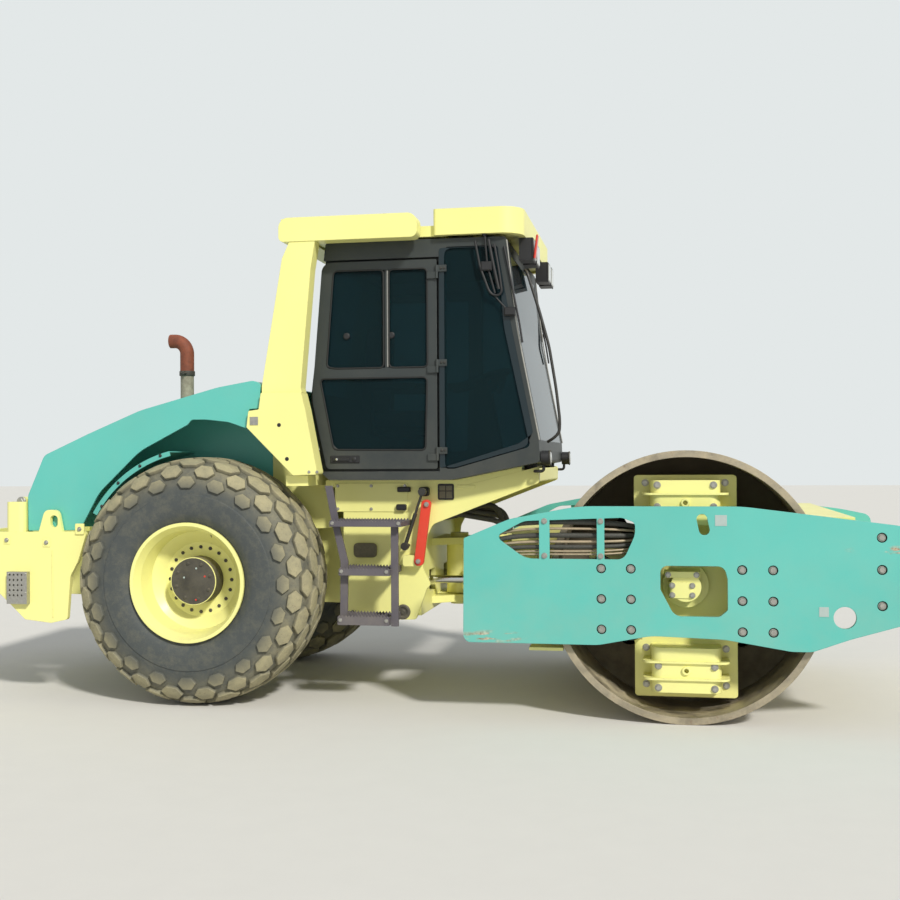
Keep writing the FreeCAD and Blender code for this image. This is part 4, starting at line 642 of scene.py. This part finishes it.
def smoothLine(name, points):  # NURBS of order 3 with the route's points as its control points, and points read from it
    curve = bpy.data.curves.new(name, "CURVE")
    curve.dimensions = "3D"
    curve.resolution_u = 20
    spline = curve.splines.new("NURBS")
    spline.points.add(len(points) - 1)
    spline.points.foreach_set("co", np.insert(np.array(points, float), 3, 1, axis=1).ravel())
    spline.order_u = 3
    spline.use_endpoint_u = True
    made = linked(name, curve)
    mesh = bpy.data.meshes.new_from_object(made)
    line = np.array([vertex.co for vertex in mesh.vertices])
    bpy.data.meshes.remove(mesh)
    return made, line, float(np.linalg.norm(np.diff(line, axis=0), axis=1).sum())


def fitting(start, stop, radius):  # pressed collar and nut at a hose's end
    start, stop = np.array(start), np.array(stop)
    return turned(start, stop - start, [(r * radius, h * radius) + tuple(x) for r, h, *x in hoseForm["fitting"]], 24)


nuts, pipes = [], []
for i, (windowZ, plateZ, radius) in enumerate(hoseForm["rows"]):
    downZ = hoseForm["endTop"] - hoseForm["endPitch"] * i
    wayY = [hoseForm["laneY"]] * 3 + [hoseForm["endY"]] * 2
    route = [(hoseForm["plateX"], hoseForm["laneY"], plateZ)]
    route += list(zip(hoseForm["wayX"], wayY, (plateZ, windowZ, windowZ, downZ, downZ)))
    hose, line, length = smoothLine("frontHose_" + str(i), route)
    nuts += [fitting(route[0], route[1], radius), fitting(route[-1], route[-2], radius)]
    if radius < hoseForm["pipesUnder"]:
        pipes.append(swept(line, radius, 16))
        bpy.data.objects.remove(hose)
        continue
    hose.data.bevel_depth = radius
    hose.data.bevel_resolution = 5
    hose.data.use_fill_caps = True
    hose.data.materials.append(paint["hoseRubber"])
    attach(hose, front)
    if i == 0:
        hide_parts("front_hoses")
piece("frontPipes", front, "pipeSteel", pipes)
piece("hoseNuts", front, "brass", nuts)
for i, (y0, y1, startZ, archZ) in enumerate(hoseForm["pivotRows"]):
    radius = hoseForm["pivotRadius"]
    startX, archX, farX = hoseForm["pivotX"]
    farX += hoseForm["pivotPitch"] * (i % 3)
    route = [(hoseForm["pivotStartX"], y0, startZ), (startX, y0, startZ), (archX, (y0 + y1) / 2, archZ),
             (farX, y1, archZ - hoseForm["pivotDrop"]), (farX, y1, hoseForm["pivotFoot"])]
    guide, line, length = smoothLine("pivotLine_" + str(i), route)
    bpy.data.objects.remove(guide)
    hose = piece("pivotHose_" + str(i), None, "hoseRubber", [swept(line, radius, 20)])
    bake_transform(hose)
    piece("pivotNutRear_" + str(i), rear, "brass", [fitting(route[0], route[1], radius * 0.95)])
    if i == 0:
        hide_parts("pivot_hoses")
print("hoses done")

# rear end: bumper pads and seam, tail lamps

bumperForm = {
    "face": -0.97,
    "pads": [((-2.597, -0.974, 0.969), (-2.556, -0.969, 1.019)), ((-2.331, -0.974, 0.953), (-2.283, -0.969, 1.008))],
    "tab": ((-2.11, 1.032), (-2.05, 1.1)), "tabDepth": 0.01, "sunk": 0.001,
    "seam": [(-2.274, 0.93), (-2.266, 0.93), (-2.26, 0.512), (-2.268, 0.512)], "seamDepth": 0.0035,
    "lampBody": ((-2.958, -0.86, 0.86), (-2.938, -0.66, 0.97)), "lampEdge": 0.004,
    "red": ((-2.966, -0.855, 0.866), (-2.957, -0.765, 0.964)),
    "amber": ((-2.966, -0.755, 0.866), (-2.957, -0.665, 0.964)),
}
bumperFace, sunk = bumperForm["face"], bumperForm["face"] + bumperForm["sunk"]
tab = oblong(*bumperForm["tab"], 0.008, 3)
pads = [brick(low, high, 0.001) for low, high in bumperForm["pads"]]
pads.append(slab(tab, bumperFace - bumperForm["tabDepth"], sunk, 0.002))
piece("bumperPads", rear, "yellowEnamel", pads, both=True)
piece("bumperSeam", rear, "yellowEnamel", [slab(bumperForm["seam"], bumperFace - bumperForm["seamDepth"], sunk)],
      both=True)
for name, key, part in (("tailLampBodies", "blackPlastic", "lampBody"), ("tailLampRed", "redLens", "red"),
                        ("tailLampAmber", "amberLens", "amber")):
    piece(name, rear, key, [brick(*bumperForm[part], bumperForm["lampEdge"], 0)], both=True)
print("rear end done")

# hood: prop rods, clamp and skirt of the exhaust pipe

hoodForm = {
    "prop": [(-2.012, -0.56, 1.12), (-1.93, -0.56, 1.235), (-1.8, -0.56, 1.402), (-1.722, -0.56, 1.475)],
    "propRadius": 0.006,
}
piece("hoodPropRod", "hood", "hardChrome", [swept(bent(hoodForm["prop"], 0.03), hoodForm["propRadius"], 12)], both=True)

pipeForm = {
    "foot": (-1.654, -0.3, 1.868), "clamp": np.array((-1.654, -0.3, 2.072)),
    "band": [(0.03, -0.016), (0.042, -0.016), (0.05, -0.016), (0.0515, -0.013), (0.0515, 0.013), (0.05, 0.016),
             (0.042, 0.016),
             (0.03, 0.016)],  # (radius, height)
    "lug": ((-0.008, -0.072, -0.012), (0.008, -0.046, 0.012)),
    "bolt": ((-0.024, -0.063, 0.0), (0.024, -0.063, 0.0)), "boltRadius": 0.0045,  # all from the clamp's middle
    "skirt": [(0.0, 0.0), (0.086, 0.0), (0.086, 0.004), (0.054, 0.012), (0.047, 0.02), (0.0, 0.02)],
}
clamp = [turned(pipeForm["clamp"], (0, 0, 1), pipeForm["band"], 48),
         brick(*(pipeForm["clamp"] + pipeForm["lug"]), 0.002),
         rod(*(pipeForm["clamp"] + pipeForm["bolt"]), pipeForm["boltRadius"], 12)]
piece("exhaustClamp", "hood", "axleIron", clamp)
piece("exhaustSkirt", "hood", "tealEnamel", [turned(pipeForm["foot"], (0, 0, 1), pipeForm["skirt"], 48)])
print("hood done")

# side frames: boxes, lid, vent, covers, foot of the lock bar, wing before the door, caps on the roll-over post

sideCovers = {
    # name: (paint, bevel, [(closed outline, y outside, y inside)])
    "sideBoxes": ("blackPlastic", 0.004, [(oblong((0.005, 1.261), (0.068, 1.317), 0.0168), -0.665, -0.6205),
                                          (oblong((-0.134, 1.286), (-0.052, 1.317), 0.0093), -0.65, -0.6205),
                                          (oblong((-0.141, 1.174), (-0.078, 1.211), 0.0111), -0.65, -0.6205)]),
    "sideLid": ("fadedPlastic", 0.006, [(oblong((-0.415, 0.879), (-0.268, 0.969), 0.03, 5), -0.646, -0.6205)]),
    "ventFrame": ("blackPlastic", 0.002, [(oblong((0.118, 1.237), (0.219, 1.336), 0.012), -0.626, -0.6204)]),
    "lockFoot": ("yellowEnamel", 0.003, [
        (bent([(-0.095, 0.828), (0.012, 0.828), (0.032, 0.848), (0.032, 0.898), (-0.095, 0.898)], 0.02, 5, True),
         -0.682, -0.6205)]),
    "sidePanels": ("yellowEnamel", 0.0015, [(oblong((-0.539, 1.162), (-0.071, 1.342), 0.008), -0.624, -0.6203),
                                            (oblong((0.238, 1.306), (0.352, 1.329), 0.008), -0.624, -0.6203)]),
    "cabSill": ("yellowEnamel", 0.001, [
        ([(-0.6, 1.315), (-0.6, 1.3605), (0.228, 1.3605), (0.64, 1.4405), (0.64, 1.37), (0.3, 1.31)], -0.6195,
         -0.608)]),
}
for name, (key, bevel, rows) in sideCovers.items():
    piece(name, rear, key, [slab(outline, out, inside, bevel) for outline, out, inside in rows], both=True)

sideForm = {
    "cellX": (0.129, 0.171), "cellZ": ((1.248, 0.042), (1.295, 0.03)), "cellWidth": 0.037, "cellY": (-0.6275, -0.625),
    "bushing": (-0.104, -0.6205, 0.544),
    "bushingProfile": [(0, 0), (0.046, 0), (0.046, 0.014), (0.041, 0.018), (0.03, 0.018), (0.028, 0.012),
                       (0.014, 0.012),
                       (0.013, 0.017), (0, 0.018)],
    "wing": [(-0.86, 1.05), (-0.86, 1.2), (-0.99, 1.3), (-0.99, 1.56), (-0.9, 1.56), (-0.8, 1.415), (-0.6, 1.395),
             (-0.6, 1.05)],
    "wingY": (-0.49, -0.482), "shelf": ((-0.99, -0.485, 1.3), (-0.6, -0.345, 1.308)),
}
cellOut, cellIn = sideForm["cellY"]
cells = [brick((x, cellOut, z), (x + sideForm["cellWidth"], cellIn, z + high), 0.001)
         for x in sideForm["cellX"] for z, high in sideForm["cellZ"]]
piece("ventCells", rear, "fadedPlastic", cells, both=True)
piece("sideBushing", rear, "axleIron", [turned(sideForm["bushing"], outward, sideForm["bushingProfile"], 40)],
      both=True)
wing = [slab(sideForm["wing"], *sideForm["wingY"], 0.001), brick(*sideForm["shelf"], 0.001, 2)]
piece("sideWing", rear, "yellowEnamel", wing, both=True)

postForm = {
    "seat": -0.9652,
    "plate": ((-0.972, -0.969, 1.7), (-0.92, -0.9652, 1.75)),
    "caps": [(-0.788, 1.699), (-0.739, 1.494)], "cap": [(0, 0), (0.012, 0), (0.012, 0.001), (0.009, 0.002), (0, 0.002)],
}
caps = [(x, postForm["seat"], z) for x, z in postForm["caps"]]
piece("postPlates", rear, "zincSteel", [brick(*postForm["plate"], 0.001)], both=True)
piece("postCaps", rear, "blackPlastic", [turned(caps, outward, postForm["cap"])], both=True)
print("side frames done")

# doors: border of the front side glass, seals, handle with its lock, window knobs, edge of the sliding pane

doorForm = {
    "face": -0.775, "pane": -0.76, "sealY": -0.7745, "sealRadius": 0.0055,
    # outlines of the seals in the side view, x from the rear axle
    "seals": [[(0.827, 2.047), (1.14, 2.047), (1.14, 2.645), (0.825, 2.645), (0.78, 2.06)],
              [(1.174, 2.047), (1.412, 2.047), (1.412, 2.645), (1.174, 2.645)],
              [(0.822, 1.549), (1.398, 1.544), (1.41, 1.985), (0.737, 1.985)]],
    "handle": [((-0.521, -0.7835, 1.468), (-0.338, -0.774, 1.512), 0.003),
               ((-0.505, -0.791, 1.478), (-0.4, -0.783, 1.502), 0.004)],
    "key": (-0.37, -0.7835, 1.49), "keyProfile": [(0, 0), (0.013, 0), (0.013, 0.005), (0.01, 0.007), (0, 0.007)],
    "lock": (-0.478, -0.791, 1.49), "lockProfile": [(0, 0), (0.007, 0), (0.007, 0.003), (0.005, 0.004), (0, 0.004)],
    "knobs": [(rearX(x), 2.245) for x in (0.905, 1.187)],
    "knobProfile": [(0, 0), (0.019, 0), (0.021, 0.004), (0.02, 0.012), (0.015, 0.016), (0, 0.017)],
    "slide": ((rearX(1.16), -0.7705, 2.052), (rearX(1.168), -0.7665, 2.64)),
}
glassForm = {
    "outer": [(0.162, 1.432), (0.64, 1.578), (0.728, 1.64), (0.6, 2.285), (0.518, 2.764), (0.162, 2.764)],
    "inner": [(1.515, 1.43), (1.575, 1.43), (2.035, 1.56), (1.88, 2.29), (1.845, 2.77),
              (1.515, 2.77)],  # x from the axle
    "lap": 0.012, "low": -0.7658, "high": -0.778,
}


def sealRing(outline, y, radius):  # round strip along a closed outline
    flat = bent([(rearX(x), z) for x, z in outline], 0.03, 6, True)
    loop = np.stack([flat[:, 0], np.full(len(flat), y), flat[:, 1]], 1)
    return swept(np.concatenate([loop, loop[:1]]), radius, 10)


inner = np.array(glassForm["inner"]) + (place["axleX"], 0)
inner = inner.mean(0) + (inner - inner.mean(0)) * (1 - glassForm["lap"])
frit = border(bent(glassForm["outer"], 0.02, 4, True), bent(inner, 0.05, 4, True), glassForm["low"], glassForm["high"])
piece("glassBorder", rear, "frit", [frit], both=True, sharp=20)
knobs = [(x, doorForm["pane"], z) for x, z in doorForm["knobs"]]
doorParts = {
    ("doorSeals_", "sealRubber"): [
        sealRing(outline, doorForm["sealY"], doorForm["sealRadius"]) for outline in doorForm["seals"]],
    ("doorHandle_", "blackPlastic"): [brick(*box) for box in doorForm["handle"]]
    + [turned(doorForm["key"], outward, doorForm["keyProfile"])],
    ("doorLock_", "hardChrome"): [turned(doorForm["lock"], outward, doorForm["lockProfile"], 20)],
    ("windowKnobs_", "blackPlastic"): [turned(knobs, outward, doorForm["knobProfile"], 28)],
    ("slidingEdge_", "zincSteel"): [brick(*doorForm["slide"], 0.001, 2)],
}
for side, y in sides.items():
    for (name, key), parts in doorParts.items():
        piece(name + side, "door_" + side, key, flipped(parts, -y))
print("doors done")

# folded wipers on the side glass near the front post, and the hand rail before the cab

wiperForm = {
    # thin bent bars of the two folded wipers: ((x, z) in the side view, radius, y)
    "bars": [([(0.389, 2.792), (0.419, 2.635), (0.472, 2.49), (0.496, 2.465), (0.532, 2.463), (0.549, 2.487),
               (0.533, 2.607),
               (0.505, 2.77)], 0.0075, -0.806),
             ([(0.446, 2.835), (0.461, 2.645), (0.506, 2.478)], 0.0065, -0.798),
             ([(0.47, 2.8), (0.5, 2.64), (0.531, 2.5)], 0.01, -0.806),
             ([(0.5, 2.47), (0.535, 2.425), (0.585, 2.372)], 0.005, -0.798),
             ([(0.56, 2.76), (0.6, 2.56), (0.65, 2.3), (0.668, 2.18)], 0.006, -0.786)],
    "boxes": [((0.424, -0.82, 2.612), (0.49, -0.777, 2.668), 0.006),
              ((0.56, -0.812, 2.34), (0.628, -0.777, 2.392), 0.008)],
    "hub": (0.444, -0.777, 2.832), "hubProfile": [(0, 0), (0.014, 0), (0.014, 0.026), (0.009, 0.034), (0, 0.034)],
    "pins": [((0.5, -0.777, 2.76), (0.5, -0.812, 2.76), 0.009), ((0.59, -0.777, 2.366), (0.59, -0.806, 2.366), 0.016)],
}
arms = [swept(bent([(x, y, z) for x, z in line], 0.03, 5), radius, 12) for line, radius, y in wiperForm["bars"]]
arms += [brick(*box) for box in wiperForm["boxes"]] + [rod(*pin) for pin in wiperForm["pins"]]
arms.append(turned(wiperForm["hub"], outward, wiperForm["hubProfile"]))
piece("sideWipers", rear, "blackPlastic", arms, both=True)
railForm = {
    "line": [(0.683, 2.62), (0.755, 2.387), (0.814, 2.168), (0.855, 1.913), (0.877, 1.72), (0.874, 1.648),
             (0.841, 1.612)],
    "y": -0.66, "top": (0.663, -0.6, 2.64), "foot": (0.8, -0.64, 1.59), "radius": 0.009,
}
rail = [railForm["top"]] + [(x, railForm["y"], z) for x, z in railForm["line"]] + [railForm["foot"]]
piece("frontRail", rear, "blackPaint", [swept(bent(rail, 0.05), railForm["radius"])])

# lamps under the visor, marker, round lamps below the windscreen, and a bright strip on the front pillar's edge that is
# a painted highlight

lampForm = {
    "x": rearX(2.035), "spots": [(y, 2.7675) for y in (-0.56, -0.36)],
    # boxes from each spot: low corner, high corner, bevel
    "bezel": ((-0.004, -0.073, -0.0705), (0.008, 0.073, 0.0665), 0.004),
    "lens": ((0.004, -0.062, -0.0585), (0.013, 0.062, 0.0555), 0.005),
    "marker": ((0.728, -0.64, 2.705), (0.742, -0.59, 2.85), 0.005, 0), "markerTilt": 7,
    "markerMiddle": (0.735, -0.61, 2.78),
    "round": (0.792, -0.7, 1.492),
    "ring": [(0, 0.023), (0.0475, 0.023), (0.049, 0.026), (0.049, 0.031), (0.046, 0.034), (0.04, 0.03), (0, 0.03)],
    "roundLens": [(0, 0.026), (0.04, 0.026), (0.04, 0.031), (0.03, 0.036), (0.015, 0.0385), (0, 0.039)],
    # bright strip along the front edge of the cab's side, a painted highlight of that edge: (x, z) points, y and radius
    "highlightStrip": [(0.5745, 2.8), (0.6295, 2.29), (0.7645, 1.6)], "highlightStripY": -0.7735, "highlightStripRadius": 0.0045,
}


def lampBoxes(low, high, bevel):
    spots = [np.array((lampForm["x"], y, z)) for y, z in lampForm["spots"]]
    return [brick(spot + low, spot + high, bevel, 0) for spot in spots]


marker = rotated(brick(*lampForm["marker"]), "Y", lampForm["markerTilt"], lampForm["markerMiddle"])
piece("sideMarker", rear, "redLens", [marker])
piece("lampBezels", rear, "blackPlastic", lampBoxes(*lampForm["bezel"]), both=True)
piece("lampLenses", rear, "lampGlass", lampBoxes(*lampForm["lens"]), both=True)
piece("roundLampRings", rear, "blackPaint", [turned(lampForm["round"], (1, 0, 0), lampForm["ring"], 48)], both=True)
piece("roundLampLenses", rear, "lampGlass", [turned(lampForm["round"], (1, 0, 0), lampForm["roundLens"], 48)],
      both=True)
# zinc strip that paints the highlight along the front pillar's edge
highlightStrip = bent([(x, lampForm["highlightStripY"], z) for x, z in lampForm["highlightStrip"]], 0.24, 12)
piece("pillarHighlightStrip", rear, "zincSteel", [swept(highlightStrip, lampForm["highlightStripRadius"], 10)], both=True)
print("cab outside done")

# bolts all over the machine, both sides alike but for the lock bar's on the right and the roof's

boltRows = {
    # (body, paint, direction): {name: [(half width over corners, places)]}
    (front, "zincSteel", outward): {
        "strapBolts": [(0.013, [(frontX(x), -1.125, z) for x in (-0.7835, -0.468) for z in (1.135, 0.94)])],
        "carrierBolts": [
            (0.016, [(frontX(x), -1.0205, z) for x in (-0.155, 0.155) for z in (1.335, 1.213, 0.318, 0.196)]
             + [(frontX(x), -0.8505, z) for x in (-0.225, 0.225) for z in (1.345, 1.135, 0.395, 0.185)]),
            (0.013, [(frontX(x), -1.0355, 0.8325) for x in (-0.098, 0.058)]
             + [(frontX(x), -1.0305, z) for x in (-0.075, 0.035) for z in (0.718, 0.772)])],  # on the motor's flange
    },
    (front, "zincSteel", (-1, 0, 0)): {
        "beamBolts": [(0.014, [(0.4378, y, z) for y in (-0.47, -0.36) for z in (0.63, 0.8, 1.0)])],
    },
    (rear, "zincSteel", outward): {
        "bumperBolts": [(0.011, [(-2.08, -0.98, 1.066), (-2.577, -0.974, 0.994), (-2.307, -0.974, 0.98)])],
        "ventBoxBolts": [(0.006, [(rearX(x), -1.0085, z) for x in (-1.222, -1.107) for z in (0.786, 0.668)])],
        "hingeCaps": [(0.024, [(rearX(-1.2), -0.8895, 1.233)])],
        "panelBolts": [(0.008, [(x, -0.624, z) for x in (-0.52, -0.305, -0.09) for z in (1.18, 1.324)])],
        "lockBarBolts": [(0.012, [(0.007, -0.6985, 0.863), (0.061, -0.6985, 1.212)])],
        "ladderBolts": [(0.009, [(rearX(x), -0.9505, z) for x, z in (
            (0.86, 1.108), (1.266, 1.108), (0.915, 0.82), (1.192, 0.82), (0.908, 0.53), (1.19, 0.53))])],
        "postBolts": [(0.007, [(-0.601, -0.9652, 1.415), (-0.552, -0.9652, 1.415)])],
    },
    (rear, "blackPaint", outward): {
        "hingeBolts": [(0.006, [(rearX(x), -0.7895, z) for x in (1.5, 1.52) for z in (2.64, 2.07, 1.54)])],
    },
    ("hood", "blackPaint", outward): {
        "mudguardBolts": [(0.008, [(-1.97, -0.9005, 1.205), (-1.86, -0.9005, 1.35), (-1.715, -0.9005, 1.456),
                                   (-1.58, -0.9005, 1.519)])],
    },
    (rear, "zincSteel", (0, 0, 1)): {
        "roofBolts": [(0.01, [(x, y, 2.985) for x in (0.18, 0.6) for y in (-0.62, 0.62)])],
    },
}
for (body, key, axis), group in boltRows.items():
    for name, rows in group.items():
        parts = [bolts(places, size, axis) for size, places in rows]
        piece(name, body, key, parts, both=name not in ("lockBarBolts", "roofBolts"))
print("bolts done")

# inside: padded seat on its base, wheel grip with its knob, gauge pod

seatForm = {
    # pads: (centre, half sizes, seams as (direction, place), tilt in degrees)
    "seatCushion": ((rearX(1.14), 0, 1.745), (0.235, 0.245, 0.062), [("b", -0.55), ("b", 0.55), ("a", 0.1)], 0),
    "seatBack": ((rearX(0.915), 0, 2.09), (0.29, 0.235, 0.055), [("b", -0.55), ("b", 0.55), ("a", 0.25)], -85),
    "armX": rearX(1.08), "armY": 0.283, "armZ": 1.965, "armSize": (0.15, 0.028, 0.022), "fills": (0.7, 0.7, 0.8),
    "base": [((rearX(0.925), -0.19, 1.4055), (rearX(1.34), 0.19, 1.45), 0.006),
             ((rearX(0.97), -0.155, 1.45), (rearX(1.3), 0.155, 1.64), 0.02),
             ((rearX(0.915), -0.215, 1.64), (rearX(1.35), 0.215, 1.686), 0.01)],
    "postX": rearX(0.945), "postZ": (1.66, 1.96), "postRadius": 0.014,
    "armEnd": (rearX(1.0), 1.955), "crossZ": 1.665, "tubeRadius": 0.012,
}


# crowned pad: (x, y, z) = centre + half sizes * sign * |cos|^p rounds, seams pulled in by d * exp(-(w / s)^2)
def pad(centre, size, seams, tilt, power=0.32, crown=0.1, seamDepth=0.012, seamWidth=0.035, nu=96, nv=64):
    u, v = np.meshgrid(np.linspace(0, 2 * math.pi, nu, endpoint=False), np.linspace(-math.pi / 2, math.pi / 2, nv),
                       indexing="ij")
    soft = lambda value: np.sign(value) * np.abs(value) ** power
    a, b, c = soft(np.cos(u)) * soft(np.cos(v)), soft(np.sin(u)) * soft(np.cos(v)), soft(np.sin(v))
    bulge = 1 + crown * (1 - a ** 2) * (1 - b ** 2)
    for along, where in seams:
        w = (a if along == "a" else b) - where
        bulge = bulge - seamDepth / size[2] * np.exp(-(w / seamWidth) ** 2) * (c > -0.2)
    points = np.stack([a * size[0], b * size[1], c * bulge * size[2]], -1).reshape(-1, 3)
    return points @ np.array(turnAbout("Y", tilt)).T + np.array(centre), gridFaces(1, nu, nv, loopU=True)


cushion, backPad = [piece(name, rear, "seatCloth", [pad(*seatForm[name])], sharp=80)
                    for name in ("seatCushion", "seatBack")]
armSides = (-seatForm["armY"], seatForm["armY"])
arms = [pad((seatForm["armX"], y, seatForm["armZ"]), seatForm["armSize"], [], 0) for y in armSides]
piece("armRests", rear, "seatCloth", arms, sharp=80)
postX, (postLow, postHigh), (armEndX, armEndZ) = seatForm["postX"], seatForm["postZ"], seatForm["armEnd"]
base = [brick(*box, 2) for box in seatForm["base"]]
base += [rod((postX, y, postLow), (postX, y, postHigh), seatForm["postRadius"]) for y in armSides]
base += [rod((postX, y, armEndZ), (armEndX, y, armEndZ), seatForm["tubeRadius"]) for y in armSides]
base += [rod(*[(postX, y, seatForm["crossZ"]) for y in armSides], seatForm["tubeRadius"])]
piece("seatBase", rear, "blackPlastic", base)
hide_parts("operator_seat")

gripForm = {
    "middle": (rearX(1.62), 0, 2.01), "tilt": -19, "radius": 0.19, "thick": 0.0175, "steps": 64,
    "knobStep": 20, "knob": [(0, 0, 0.012), (0, 0, 0.057)], "knobRadius": 0.018,
    "pod": ((rearX(1.69), -0.115, 1.93), (rearX(1.76), 0.115, 2.05), 0.01, 0), "podTilt": 20,
    "podMiddle": (rearX(1.72), 0, 1.99),
}
t = np.arange(gripForm["steps"] + 1) / gripForm["steps"] * 2 * math.pi
gripTurn = np.array(turnAbout("Y", gripForm["tilt"]))
gripLine = gripForm["radius"] * np.stack([np.cos(t), np.sin(t), 0 * t], 1) @ gripTurn.T + np.array(gripForm["middle"])
knob = gripLine[gripForm["knobStep"]] + np.array(gripForm["knob"]) @ gripTurn.T
piece("wheelGrip", rear, "blackPlastic", [swept(gripLine, gripForm["thick"], 16), rod(*knob, gripForm["knobRadius"])])
pod = rotated(brick(*gripForm["pod"]), "Y", gripForm["podTilt"], gripForm["podMiddle"])
piece("gaugePod", rear, "consolePlastic", [pod])
print("cab inside done")
